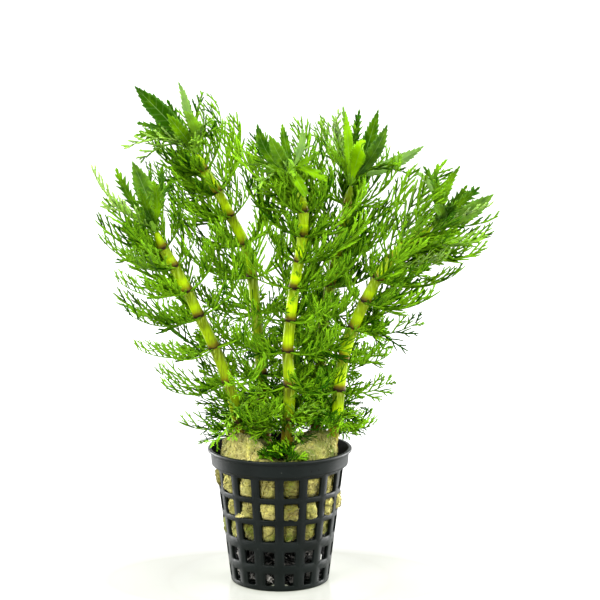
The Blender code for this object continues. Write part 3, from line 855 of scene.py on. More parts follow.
@dataclass(frozen=True)
class SweepFinish:
    """Glossy sweep with a painted glow: dim and faintly warm around the pot, as light thrown back by the plant,
    and white towards its back and sides.
    """

    name: str = "studio_sweep"
    white: tuple = (0.25, 0.25, 0.245)
    # The painted glow: dim at the pot's foot, faintly warm beside it, and brighter further out
    near: tuple = (0.06, 0.07, 0.015)
    beside: tuple = (0.25, 0.27, 0.195)
    middle: tuple = (0.45, 0.45, 0.45)
    far: tuple = (1.0, 1.0, 1.0)
    patch: tuple = (0.065, 0.105)
    foot: tuple = (0.024, 0.042)

    def build(self) -> Material:
        """Build the material.

        Returns:
            The material.
        """
        graph = FinishGraph(self.name)
        depth = graph.add("ShaderNodeSeparateXYZ", {0: graph.place()}).outputs["Y"]
        warm = graph.mix(graph.between(graph.away((1.0, 1.0, 0.0)), *self.foot), self.beside, self.near)
        glow = graph.mix(graph.between(graph.away((1.0, 1.7, 0.0)), *self.patch), warm, self.middle)
        shine = graph.mix(graph.between(depth, 0.05, 0.6), glow, self.far)
        graph.wire(roughness=0.22, specular=0.35, colour=self.white, shine=shine, shine_strength=1.0)
        return graph.material


@dataclass
class MidLine:
    """The curved middle line of a leaf, through its stations from foot to tip."""

    stations: Array
    upward: Array
    length: float = field(init=False)
    weights: Array = field(init=False)

    def __post_init__(self) -> None:
        """Fit one curve through the stations."""
        steps = np.linalg.norm(np.diff(self.stations, axis=0), axis=1)
        self.length = float(steps.sum())
        shares = np.concatenate([[0.0], np.cumsum(steps)]) / self.length
        self.weights = np.linalg.solve(np.vander(shares, increasing=True), self.stations)

    def at(self, shares: Array) -> tuple[Array, Array, Array, Array]:
        """Places and directions on the line.

        Args:
            shares: Shares of the way from foot to tip.

        Returns:
            The places, and the ways forward, to the side and up there.
        """
        powers = np.arange(len(self.weights))
        places = shares[:, None] ** powers @ self.weights
        slopes = (powers[1:] * shares[:, None] ** (powers[1:] - 1)) @ self.weights[1:]
        forward = unit(slopes)
        side = unit(np.cross(self.upward, forward))
        return places, forward, side, np.cross(forward, side)

    def leaned(self, lean: Array) -> "MidLine":
        """The same line with its upper side leaned another way."""
        return MidLine(self.stations, unit(self.upward + lean))

    def turned(self, axis: Array, turn: float, size: float) -> "MidLine":
        """The same line turned about its foot and shortened.

        Args:
            axis: The axis to turn about.
            turn: The turn in radians.
            size: The new length as a share of the old one.

        Returns:
            The new line.
        """
        foot = self.stations[0]
        steps = (self.stations - foot) * size
        return MidLine(foot + spun(steps, axis, turn), spun(self.upward[None], axis, turn)[0])


def spun(vectors: Array, axis: Array, turn: float) -> Array:
    """Vectors turned by radians about an axis of length one through the origin."""
    along = np.outer(vectors @ axis, axis)
    return vectors * math.cos(turn) + np.cross(axis, vectors) * math.sin(turn) + along * (1 - math.cos(turn))


@dataclass(frozen=True)
class CutStyle:
    """How a leaf is cut, and how far it leans to the front.

    Lengths are in metres, angles in radians, and the reach in blade widths.
    """

    spacing: float
    bare: float
    thread: float
    rib: float
    flatness: float
    forks: int
    fork_share: float
    fork_angle: float
    spread: float
    fold: float
    loose: float
    lean: float
    reach: float
    outline: tuple[float, float, float, float]


FAN = CutStyle(
    spacing=4.4 * MM, bare=0.24, thread=0.41 * MM, rib=0.44 * MM, flatness=0.80, forks=4,
    fork_share=0.42, fork_angle=0.66, spread=0.90, fold=0.24, loose=0.17, lean=1.4, reach=1.02,
    outline=(0.62, 1.0, 0.82, 0.40),
)
COMB = CutStyle(
    spacing=3.2 * MM, bare=0.22, thread=0.37 * MM, rib=0.46 * MM, flatness=0.80, forks=2,
    fork_share=0.34, fork_angle=0.56, spread=0.96, fold=1.02, loose=0.12, lean=0.12, reach=0.95,
    outline=(0.62, 1.0, 0.90, 0.42),
)
FEATHERY = CutStyle(
    spacing=3.1 * MM, bare=0.14, thread=0.46 * MM, rib=0.52 * MM, flatness=0.72, forks=2,
    fork_share=0.32, fork_angle=0.52, spread=0.74, fold=0.62, loose=0.12, lean=0.60, reach=0.92,
    outline=(0.60, 0.95, 1.0, 0.50),
)
MOSSY = CutStyle(
    spacing=3.6 * MM, bare=0.20, thread=0.29 * MM, rib=0.34 * MM, flatness=0.80, forks=3,
    fork_share=0.42, fork_angle=0.66, spread=0.90, fold=0.50, loose=0.24, lean=0.0, reach=1.0,
    outline=(0.62, 1.0, 0.82, 0.50),
)


@dataclass
class CutLeaf:
    """A leaf cut twice into threads or lobes. Its sheaf has the traits in LEAF_TRAITS."""

    sheaf: Sheaf
    line: MidLine
    reach: float
    style: CutStyle
    tone: float
    frost: float
    rng: Rng
    rib_steps: int = 12

    # Shares of a side thread's length at which it has points, and its widths there
    THREAD_STEPS = np.array([0.0, 0.34, 0.68, 0.94, 1.0])
    THREAD_WIDTHS = np.array([1.0, 0.96, 0.90, 0.66])
    FORK_STEPS = np.array([0.0, 0.5, 0.92, 1.0])
    FORK_WIDTHS = np.array([0.88, 0.84, 0.62])

    def outline(self, shares: Array) -> Array:
        """How long the side threads are at shares of the leaf's length, from 0 to 1."""
        place = (shares - self.style.bare) / (1 - self.style.bare)
        return np.interp(place, (0.0, 0.2, 0.6, 1.0), self.style.outline)

    def grow(self) -> None:
        """Add the leaf's midrib, side threads and forks."""
        style = self.style
        rng = self.rng
        self.add_rib()
        span = 0.96 - style.bare
        pairs = max(4, round(self.line.length * span / style.spacing))
        shares = np.repeat(np.linspace(style.bare, 0.96, pairs), 2)
        shares = shares + np.tile([-0.25, 0.25], pairs) * span / pairs
        count = len(shares)
        shares = np.clip(shares + rng.normal(0.0, 0.12, count) * span / pairs, 0.02, 0.985)
        sign = np.tile([-1.0, 1.0], pairs)[:, None]
        places, forward, side, up = self.line.at(shares)
        fold = (style.fold + rng.normal(0.0, style.loose, count))[:, None]
        outward = side * sign * np.cos(fold) + up * np.sin(fold)
        angle = style.spread * (1.15 - 0.45 * shares) + rng.normal(0.0, style.loose / 2, count)
        heading = forward * np.cos(angle)[:, None] + outward * np.sin(angle)[:, None]
        length = self.reach * self.outline(shares) * rng.uniform(0.82, 1.10, count)
        plane = unit(np.cross(forward, outward))
        bend = forward * 0.32 + up * 0.08 + rng.normal(0.0, style.loose / 3, (count, 3))
        steps = self.THREAD_STEPS[None, :, None]
        reach = length[:, None, None]
        lines = places[:, None] + heading[:, None] * reach * steps + bend[:, None] * reach * steps**2
        foot = style.thread * (0.78 + 0.22 * self.outline(shares))
        tone = self.tone + rng.normal(0.0, 0.22, count)
        self.add_threads(lines, foot[:, None] * self.THREAD_WIDTHS, up, 4, tone, (0.1, 0.95))
        self.add_forks(lines, foot, plane, up, tone)

    def add_rib(self) -> None:
        """Add the midrib."""
        shares = np.linspace(0.0, 1.0, self.rib_steps)
        places, _, _, up = self.line.at(shares)
        widths = self.style.rib * (1.0 - 0.6 * shares[:-1])
        self.add_threads(places[None], widths[None], up[:1], 6, np.array([self.tone]), (0.0, 0.8))

    def add_forks(self, lines: Array, foot: Array, plane: Array, up: Array, tone: Array) -> None:
        """Add the forks of the side threads, which end about where the threads do.

        Args:
            lines: The side threads' middle lines.
            foot: Half the width of each side thread at its foot.
            plane: The way each side thread's own plane faces.
            up: The way the leaf faces there.
            tone: Each side thread's tone.
        """
        style = self.style
        rng = self.rng
        start = lines[:, 0]
        whole = lines[:, -1] - start
        count = len(whole)
        length = np.linalg.norm(whole, axis=1)
        heading = unit(whole)
        beside = unit(np.cross(plane, heading))
        middle = lines[:, 2] - start - whole * self.THREAD_STEPS[2]
        steps = self.FORK_STEPS[None, :, None]
        for fork in range(style.forks):
            share = 0.22 + 0.62 * (fork + 0.5) / style.forks
            share = np.clip(share + rng.normal(0.0, 0.04, count), 0.12, 0.90)
            sign = 1.0 if fork % 2 else -1.0
            angle = rng.normal(style.fork_angle, style.loose / 2, count)[:, None]
            lift = rng.normal(0.0, style.loose, count)[:, None]
            turn = heading * np.cos(angle) + beside * sign * np.sin(angle) + up * lift
            size = length * style.fork_share * (1.25 - share) * rng.uniform(0.70, 1.20, count)
            at = start + whole * share[:, None] + middle * (4 * share * (1 - share))[:, None]
            branch = at[:, None] + size[:, None, None] * (
                turn[:, None] * steps + heading[:, None] * 0.32 * steps**2
            )
            shade = tone + rng.normal(0.0, 0.16, count)
            self.add_threads(branch, foot[:, None] * self.FORK_WIDTHS, up, 3, shade, (0.35, 1.0))

    def add_threads(
        self, lines: Array, widths: Array, up: Array, sides: int, tone: Array, along: tuple,
    ) -> None:
        """Add threads with their tone, frost, and how far along they run.

        Args:
            lines: Their middle lines.
            widths: Half their width at each step before the tip.
            up: The way they face.
            sides: Sides of their section.
            tone: Each thread's tone.
            along: The value of the trait at their feet and at their tips.
        """
        steps = np.linspace(along[0], along[1], lines.shape[1])
        traits = np.stack(np.broadcast_arrays(tone[:, None], steps[None], self.frost), -1)
        self.sheaf.add_strands(lines, widths, up, self.style.flatness, sides, traits)


@dataclass
class BroadLeaf:
    """A toothed young leaf with a midrib. Its sheaf has the traits in SHOOT_TRAITS."""

    sheaf: Sheaf
    line: MidLine
    width: float
    tone: float
    frost: float
    rng: Rng
    tooth_spacing: float = 1.9 * MM
    tooth_depth: float = 0.58 * MM
    thickness: float = 0.26 * MM
    rib_thickness: float = 0.60 * MM
    fold: float = 0.30
    wave: float = 0.30 * MM

    # Places across the upper side, from one margin to the other
    COLUMNS = np.array([-1.0, -0.72, -0.36, -0.07, 0.0, 0.07, 0.36, 0.72, 1.0])
    # A tooth rises slowly and falls back at once: places in it, and how far it juts out there
    TOOTH = np.array([(0.0, 0.0), (0.5, 0.5), (0.90, 1.0)])

    def half_width(self, shares: Array) -> Array:
        """Half the leaf's width without its teeth, at shares of its length."""
        rise = np.clip(np.sin(np.pi * shares**1.1), 0.0, 1.0) ** 0.85
        return self.width / 2 * rise * np.clip((1.06 - shares) / 0.35, 0.0, 1.0) ** 0.35

    def grow(self) -> None:
        """Add the leaf."""
        teeth = max(5, round(self.line.length / self.tooth_spacing))
        shares = ((np.arange(teeth)[:, None] + self.TOOTH[None, :, 0]) / teeth).ravel()
        shares = shares[shares < 0.985]
        jut = np.tile(self.TOOTH[:, 1], teeth)[: len(shares)]
        jut = jut * np.clip((shares - 0.16) / 0.2, 0.0, 1.0) * np.clip((1.03 - shares) / 0.2, 0.0, 1.0)
        jut = jut * self.rng.uniform(0.45, 1.30, len(shares))
        half = np.maximum(self.half_width(shares), 0.45 * MM * np.clip((1.05 - shares) * 8, 0.0, 1.0))
        phase = self.rng.uniform(0.0, 2 * np.pi)
        ripple = self.wave * np.sin(2 * np.pi * 2.3 * shares + phase)
        over, below = (self.surface(shares, half, jut, ripple, face) for face in (1.0, -1.0))
        rings = np.concatenate([below, over[:, -2:0:-1]], axis=1)
        columns = np.concatenate([self.COLUMNS, self.COLUMNS[-2:0:-1]])
        under = np.concatenate([np.ones(len(self.COLUMNS)), np.zeros(len(self.COLUMNS) - 2)])
        along = np.append(shares, 1.0)[:, None]
        traits = np.stack(
            np.broadcast_arrays(self.tone, along, self.frost, np.abs(columns)[None], under[None]), -1,
        )
        self.sheaf.add_forms(rings[None], self.line.stations[-1][None], traits[None])

    def surface(self, shares: Array, half: Array, jut: Array, ripple: Array, face: float) -> Array:
        """Points of the leaf's upper or under side.

        Args:
            shares: Shares of the leaf's length.
            half: Half the width there.
            jut: How far a tooth juts out there, from 0 to 1.
            ripple: How far the margin is lifted there.
            face: 1 for the upper side and -1 for the under side.

        Returns:
            The points by station and column.
        """
        places, forward, side, up = self.line.at(shares)
        columns = self.COLUMNS
        margin = (np.abs(columns) == 1.0).astype(float)
        tooth = jut[:, None] * margin[None]
        wide = half[:, None] * np.abs(columns)[None] + tooth * self.tooth_depth
        rise = wide * math.tan(self.fold) + ripple[:, None] * columns[None] ** 2
        body = np.where(np.abs(columns) < 0.2, self.rib_thickness, self.thickness) * (1 - margin)
        rise = rise + face * body[None] / 2 * np.minimum(half / (0.9 * MM), 1.0)[:, None]
        return (
            places[:, None]
            + side[:, None] * (wide * np.sign(columns)[None])[:, :, None]
            + up[:, None] * rise[:, :, None]
            + forward[:, None] * (tooth * self.tooth_depth * 0.9)[:, :, None]
        )


@dataclass
class Blade:
    """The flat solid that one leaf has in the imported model."""

    line: MidLine
    width: float


@dataclass
class StemRoute:
    """Where a stem runs."""

    name: str
    points: Array = field(init=False)

    def __post_init__(self) -> None:
        """Read the route."""
        self.points = np.array(STEM_ROUTES_MM[self.name], float) * MM

    def levels(self) -> range:
        """Numbers of the nodes that carry a whorl."""
        return range(1, len(self.points) - 1)

    def axis(self, level: int) -> Array:
        """The stem's direction at a point of the route."""
        return unit(self.points[min(level + 1, len(self.points) - 1)] - self.points[max(level - 1, 0)])

    def radius(self, height: Array) -> Array:
        """The stem's radius between nodes, at heights in metres."""
        return np.interp(height, (50 * MM, 150 * MM), (2.42 * MM, 1.86 * MM))


def read_blades(name: str, centre: Array, axis: Array, rings: int) -> list[Blade]:
    """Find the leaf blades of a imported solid.

    Args:
        name: The solid's node.
        centre: The place on the stem that its leaves grow from.
        axis: The stem's direction there.
        rings: How many rings of corners a blade has between its tip and the stem.

    Returns:
        The blades, in order around the stem.
    """
    least_reach = 5.2 * MM
    origin = Vector(centre)
    target = centre + axis * 60 * MM
    bm = bmesh.new()
    bm.from_mesh(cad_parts[name].data)
    bmesh.ops.remove_doubles(bm, verts=bm.verts, dist=WELD)
    bm.verts.index_update()
    blades = []
    for vertex in bm.verts:
        ring = around({vertex}, set())
        reach = (vertex.co - origin).length
        nearer = all((other.co - origin).length < reach for other in ring)
        if len(ring) != 4 or reach < least_reach or not nearer:
            continue
        corners = np.array([other.co for other in ring])
        gaps = np.linalg.norm(corners - corners[0], axis=1)
        third = np.argsort(gaps)[2]
        across = unit(corners[third] - corners[0])
        stations = [np.array(vertex.co)]
        seen = {vertex}
        for _ in range(rings):
            stations.append(np.mean([other.co for other in ring], axis=0))
            seen.update(ring)
            ring = around(ring, seen)
        stations.reverse()
        upward = unit(np.cross(stations[1] - stations[0], across))
        if np.dot(upward, target - stations[1]) < 0:
            upward = -upward
        blades.append(Blade(MidLine(np.array(stations), upward), float(gaps[third])))
    bm.free()
    across, beside = square_to(axis)
    blades.sort(key=lambda blade: math.atan2(
        float((blade.line.stations[-1] - centre) @ beside), float((blade.line.stations[-1] - centre) @ across),
    ))
    return blades


def around(corners: object, seen: set) -> list[bmesh.types.BMVert]:
    """The corners next to some corners, in the mesh's order, without those already seen."""
    found = {edge.other_vert(corner) for corner in corners for edge in corner.link_edges}
    return sorted(found - seen, key=lambda corner: corner.index)


def square_to(axis: Array) -> tuple[Array, Array]:
    """Two directions square to an axis and to each other."""
    first = unit(np.cross((0.0, -1.0, 0.0), axis))
    return first, np.cross(axis, first)


class Piece:
    """A piece that is gathered in one sheaf and has one material."""

    traits = LEAF_TRAITS
    slot = "cut_leaf"
    seed = 0

    def build(self, material: Material) -> None:
        """Build and dress the piece.

        Args:
            material: Its material.
        """
        self.sheaf = Sheaf(*self.traits)
        self.rng = np.random.default_rng(self.seed)
        self.fill()
        name, *nodes = self.names()
        dress(self.sheaf.make_piece(name), material, self.slot, *nodes)


@dataclass
class Stem(Piece):
    """A stem with a brown band and a thickening at every node."""

    route: StemRoute
    spacing: float = 0.4 * MM
    sides: int = 24
    swell: float = 0.13
    groove: float = 0.08
    ribs: int = 9
    tip_taper: float = 7.0 * MM

    traits = ("band", "fade", "below", "age", "flush", "glow")
    slot = "stem_skin"
    # How bright each stem's painted glow is between its nodes, from its foot to its tip; and how aged each stem
    # is, with painted shade on the stems at the back
    GLOW = {
        "left": (0.30, 0.60, 0.35), "back_left": (0.10, 0.35, 0.75), "centre": (0.45, 0.95, 0.65),
        "back_right": (0.05, 0.20, 0.25), "right": (0.60, 0.45, 0.20),
    }
    AGE = {
        "left": (0.55, 0.10), "back_left": (0.95, 0.15), "centre": (0.45, 0.0),
        "back_right": (0.95, 0.30), "right": (0.10, 0.10),
    }

    def names(self) -> tuple[str, str]:
        """The piece's name, and the solid's."""
        return f"{self.route.name}_stem", f"stem_{self.route.name}"

    def fill(self) -> None:
        """Add the stem."""
        line, places = smooth_line(self.route.points, self.spacing)
        forward = unit(np.gradient(line, axis=0))
        side = unit(np.cross(np.array((0.0, -1.0, 0.0)), forward))
        up = np.cross(forward, side)
        offset = self.node_offset(line, places)
        radius = self.route.radius(line[:, 2]) * (
            0.96 + self.swell * np.exp(-((offset / (1.3 * MM)) ** 2))
            - self.groove * np.exp(-(((offset - 0.1 * MM) / (0.3 * MM)) ** 2))
        )
        left = np.linalg.norm(line - line[-1], axis=1)
        radius = radius * np.sqrt(np.clip(left / self.tip_taper, 0.02, 1.0))
        turn = np.arange(self.sides) * 2 * np.pi / self.sides
        ripple = 1 + 0.018 * np.cos(self.ribs * turn)
        out = side[:, None] * np.cos(turn)[None, :, None] + up[:, None] * np.sin(turn)[None, :, None]
        even = line[:, None] + out * (radius[:, None] * ripple[None])[:, :, None]
        rings = even + out * (lumps(even, 1.8 * MM) * 0.05 * MM)[:, :, None]
        marks = np.repeat(self.marks(line, offset)[:, None], self.sides, axis=1)
        end = line[-1] + forward[-1] * 0.4 * MM
        self.sheaf.add_forms(rings[None], end[None], np.concatenate([marks, marks[-1:]])[None])

    def node_offset(self, line: Array, places: Array) -> Array:
        """Distance from the nearest node along the stem, positive above it.

        Args:
            line: Samples of the stem's middle line.
            places: Each sample's index among the route's points.

        Returns:
            The distance of each sample, in metres.
        """
        steps = np.linalg.norm(np.diff(line, axis=0), axis=1)
        run = np.concatenate([[0.0], np.cumsum(steps)])
        nodes = np.interp(np.array(self.route.levels(), float), places, run)
        gaps = run[:, None] - nodes[None]
        nearest = np.argmin(np.abs(gaps), axis=1)
        return gaps[np.arange(len(run)), nearest]

    def marks(self, line: Array, offset: Array) -> Array:
        """The stem's band, fade, streaks, age and painted shade, flush and painted glow at each sample.

        Args:
            line: Samples of the stem's middle line.
            offset: Each sample's distance from the nearest node.

        Returns:
            The six traits, each from 0 to 1.
        """
        height = line[:, 2] / MM
        away = offset / MM
        old = np.interp(height, (60, 150), (1.0, 0.75))
        band = np.exp(-(((away - 0.30) / 0.55) ** 2)) * old
        fade = np.interp(away, (-0.6, 0.2, 1.2, 2.6, 4.6), (0.0, 1.0, 0.80, 0.36, 0.0)) * old
        below = np.interp(away, (-5.5, -3.5, -0.6, 0.0), (0.0, 0.7, 1.0, 0.0))
        # Age, and painted shade on the stems at the back
        age = np.interp(height, (60, 110), self.AGE[self.route.name])
        age = np.clip(age + 0.30 * below * old, 0.0, 1.0)
        flush = np.interp(height, (52, 56, 64), (0.95, 0.6, 0.0))
        # The painted glow is weakest just below each node
        shaded = np.interp(away, (-6.0, -4.5, -0.5, 1.5, 4.0), (1.0, 0.6, 0.10, 0.5, 1.0))
        glow = np.interp(height, (70, 112, 150), self.GLOW[self.route.name]) * shaded
        return np.stack([band, fade, below, age, flush, glow], axis=1)


@dataclass
class Whorl(Piece):
    """The cut leaves around one node of a stem."""

    route: StemRoute
    level: int
    second_leaves: float = 0.42
    inner_leaves: tuple[int, int] = (2, 11)
    swerve: float = 0.60
    combs: float = 0.45
    rib_share: float = 0.92
    slant_trim: float = 0.25

    # How much shorter the front leaves below each crown are
    CLEARING = {"left": 0.30, "back_left": 0.65, "centre": 0.60, "back_right": 0.50, "right": 0.35}
    # How long the outer leaves of the lowest whorls are, as a share of their solids
    TRIM = {
        "left": (0.78,), "right": (0.62, 0.64, 0.70, 0.80, 0.90), "back_right": (0.55, 0.55, 0.62, 0.74, 0.88),
    }
    # The middle of the plant, towards which the inner leaves grow
    MIDDLE = np.array((0.003, 0.004, 0.0))

    def __post_init__(self) -> None:
        """Read the node's place, its share of the way up the stem, and the skin's radius there."""
        self.centre = self.route.points[self.level]
        self.axis = self.route.axis(self.level)
        self.height = self.level / len(self.route.levels())
        self.skin = float(self.route.radius(self.centre[2])) * 0.9
        self.node = f"{self.route.name}_whorl_{self.level}"
        self.seed = seed_of(self.node)

    def names(self) -> tuple[str, str]:
        """The piece's name, and the solid's."""
        return f"{self.node}_leaves", self.node

    def fill(self) -> None:
        """Add a leaf for each blade of the solid, some second leaves, and the inner leaves."""
        rng = self.rng
        styles = (FEATHERY if self.height > 0.55 else FAN, COMB)
        for blade in read_blades(self.node, self.centre, self.axis, 2):
            style = styles[int(rng.uniform() < self.combs)]
            line = self.clear_of_stem(self.from_stem(blade.line))
            line = line.leaned(FRONT * rng.normal(style.lean, 0.22) + rng.normal(0.0, 0.12, 3))
            reach = blade.width * style.reach * min(1.0, line.length / (0.84 * blade.line.length)) ** 0.8
            tone = 0.32 + 0.20 * self.height + rng.normal(0.0, 0.17)
            # Leaves that reach far to the sides get pale tips, partly painted highlight
            aside = np.clip((np.abs(line.stations[-1][0]) - 40 * MM) / (25 * MM), 0.0, 1.0)
            frost = max(0.0, rng.normal(-0.05, 0.35)) * aside
            CutLeaf(self.sheaf, line, reach, style, tone, frost, rng).grow()
            if rng.uniform() < self.second_leaves * self.height:
                turn = rng.choice([-1, 1]) * rng.uniform(0.24, 0.42)
                second = line.turned(self.axis, turn, rng.uniform(0.55, 0.8))
                CutLeaf(self.sheaf, second, reach * 0.8, style, tone + 0.15, 0.0, rng).grow()
        self.add_inner(styles[0])

    def clear_of_stem(self, line: MidLine) -> MidLine:
        """A leaf's line, turned aside where it would grow across the front of its stem.

        Args:
            line: The line.

        Returns:
            The line turned about the stem.
        """
        reach = line.stations[-1] - line.stations[0]
        off_front = math.atan2(float(reach[0]), -float(reach[1])) + 0.02
        turn = math.copysign(self.swerve, off_front) * math.exp(-((off_front / 0.60) ** 2))
        return line.turned(self.axis, turn, 1.0)

    def add_inner(self, style: CutStyle) -> None:
        """Add short leaves on the side that faces the plant's middle, more of them higher up.

        Args:
            style: How they are cut.
        """
        rng = self.rng
        across, beside = square_to(self.axis)
        inward = self.MIDDLE - self.centre
        facing = math.atan2(float(inward @ beside), float(inward @ across))
        spread = float(np.interp(np.linalg.norm(inward[:2]), (8 * MM, 16 * MM), (math.pi, 1.0)))
        for _ in range(round(float(np.interp(self.height, (0.0, 1.0), self.inner_leaves)))):
            turn = facing + rng.uniform(-spread, spread)
            out = across * math.cos(turn) + beside * math.sin(turn)
            out[1] = abs(out[1] + 0.15) - 0.15
            length = rng.uniform(9.0, 14.5 + 3.0 * self.height) * MM
            pitch = rng.uniform(0.05, 0.65 + 0.50 * self.height)
            end = out * math.cos(pitch) + self.axis * math.sin(pitch)
            middle = out * 0.55 * math.cos(pitch) + self.axis * 0.35 * math.sin(pitch)
            stations = self.centre + np.array([out * self.skin, middle * length, end * length])
            line = MidLine(stations, self.axis).leaned(FRONT * rng.normal(0.35, 0.35))
            reach = rng.uniform(4.6, 6.2) * MM
            CutLeaf(self.sheaf, line, reach, style, rng.uniform(0.1, 0.95), 0.0, rng, rib_steps=8).grow()

    def from_stem(self, line: MidLine) -> MidLine:
        """A leaf's line, started at the stem's skin.

        The front leaves of the topmost whorls stay short, so that the crown shows.

        Args:
            line: The blade's line, which starts on the solid's collar.

        Returns:
            The line that the leaf grows on.
        """
        stations = line.stations.copy()
        stations[0] = self.centre + unit(stations[0] - self.centre) * self.skin
        heading = unit(stations[-1] - stations[0])
        frontward = np.clip((-heading[1] - 0.10) / 0.35, 0.0, 1.0)
        topmost = np.clip((self.height - 0.58) / 0.14, 0.0, 1.0)
        size = self.rib_share * (1.0 - self.CLEARING[self.route.name] * frontward * topmost)
        trims = self.TRIM.get(self.route.name, ())
        if self.level <= len(trims):
            outward = heading[0] * np.sign(self.centre[0])
            size *= 1.0 - (1.0 - trims[self.level - 1]) * np.clip((outward - 0.05) / 0.35, 0.0, 1.0)
            size *= 1.0 - self.slant_trim * np.clip((0.92 - outward) / 0.15, 0.0, 1.0) * (outward > 0.05)
        stations = stations[0] + (stations - stations[0]) * size
        return MidLine(stations, line.upward)


def seed_of(name: str) -> int:
    """A seed made of a piece's name."""
    return sum((place + 1) * ord(letter) for place, letter in enumerate(name))


@dataclass
class Crown:
    """The bud and the young leaves at a stem's tip."""

    route: StemRoute
    bud_leaves: int = 5
    bud_length: float = 8.0 * MM
    broad_tone: float = 0.50
    same_tip: float = 4.0 * MM

    def __post_init__(self) -> None:
        """Read the tip's place."""
        self.centre = self.route.points[-1]
        self.axis = self.route.axis(len(self.route.points) - 1)
        self.node = f"{self.route.name}_crown"
        self.rng = np.random.default_rng(seed_of(self.node))
        self.toothed = Sheaf(*SHOOT_TRAITS)
        self.feathered = Sheaf(*LEAF_TRAITS)

    def build(self, cut: Material, broad: Material) -> None:
        """Build and dress the crown.

        Args:
            cut: The cut leaves' material.
            broad: The broad leaves' material.
        """
        blades = read_blades(self.node, self.centre, self.axis, 3)
        for row in CROWN_PLANS[self.route.name]:
            self.add_leaf(LeafPlan(*row), blades)
        self.add_bud()
        dress(self.toothed.make_piece(f"{self.node}_young_leaves"), broad, "shoot_leaf", self.node)
        dress(self.feathered.make_piece(f"{self.node}_cut_leaves"), cut, "cut_leaf")

    def line_of(self, plan: LeafPlan, blades: list[Blade]) -> MidLine:
        """The middle line of a leaf, on its solid's where it has one, and turned as planned.

        Args:
            plan: The leaf's plan.
            blades: The crown's flat solids.

        Returns:
            The line.
        """
        tip = np.array(plan.tip) * MM
        reach = tip - self.centre
        length = float(np.linalg.norm(reach))
        out = unit(reach - self.axis * (reach @ self.axis))
        start = self.centre + out * 1.3 * MM
        bend = start + self.axis * length * 0.45 + out * length * 0.10
        shares = np.array([0.0, 0.33, 0.67, 1.0])[:, None]
        stations = start * (1 - shares) ** 2 + bend * 2 * shares * (1 - shares) + tip * shares**2
        upward = unit(self.axis * length - (tip - start) * 0.5 - out * length * 0.4)
        for blade in blades:
            if np.linalg.norm(blade.line.stations[-1] - tip) < self.same_tip:
                stations = blade.line.stations
                upward = blade.line.upward
        along = np.linspace(0.0, np.pi, len(stations))[:, None]
        stations = stations + np.sin(along) * np.array((plan.bow[0], 0.0, plan.bow[1])) * MM
        front = np.array((0.0, -1.0, 0.3)) * np.sign(plan.facing)
        share = abs(plan.facing)
        return MidLine(stations, unit(upward * (1 - share) + front * share))

    def add_leaf(self, plan: LeafPlan, blades: list[Blade]) -> None:
        """Add one leaf of the crown.

        Args:
            plan: The leaf's plan.
            blades: The crown's flat solids.
        """
        line = self.line_of(plan, blades)
        width = plan.width * MM
        tone = plan.tone * self.broad_tone
        if plan.kind is CUT:
            reach = width / 2 / math.sin(FEATHERY.spread) * 1.10
            CutLeaf(self.feathered, line, reach, FEATHERY, plan.tone, plan.frost, self.rng).grow()
            return
        leaf = BroadLeaf(self.toothed, line, width, tone, plan.frost, self.rng)
        if plan.kind is LOBED:
            leaf.width = width * 0.42
            leaf.tooth_spacing = 2.5 * MM
            leaf.tooth_depth = width * 0.34
        leaf.grow()

    def add_bud(self) -> None:
        """Add the small leaves that still stand close around the stem's tip."""
        centre = self.centre
        axis = self.axis
        across, beside = square_to(axis)
        for index in range(self.bud_leaves):
            turn = index * 2 * math.pi / self.bud_leaves + 0.3
            out = across * math.cos(turn) + beside * math.sin(turn)
            length = self.bud_length * self.rng.uniform(0.75, 1.1)
            line = MidLine(np.array([
                centre + out * 1.2 * MM - axis * 0.6 * MM, centre + out * 2.2 * MM + axis * length * 0.35,
                centre + out * 2.4 * MM + axis * length * 0.7, centre + out * 1.6 * MM + axis * length,
            ]), -out)
            BroadLeaf(self.toothed, line, 3.2 * MM, 0.8, 0.2, self.rng, tooth_depth=0.3 * MM).grow()


def turned_point(turn: Array, radius: Array, height: Array) -> Array:
    """Points at turns and radii about the pot's axis."""
    return np.stack([radius * np.cos(turn), radius * np.sin(turn), height], -1)


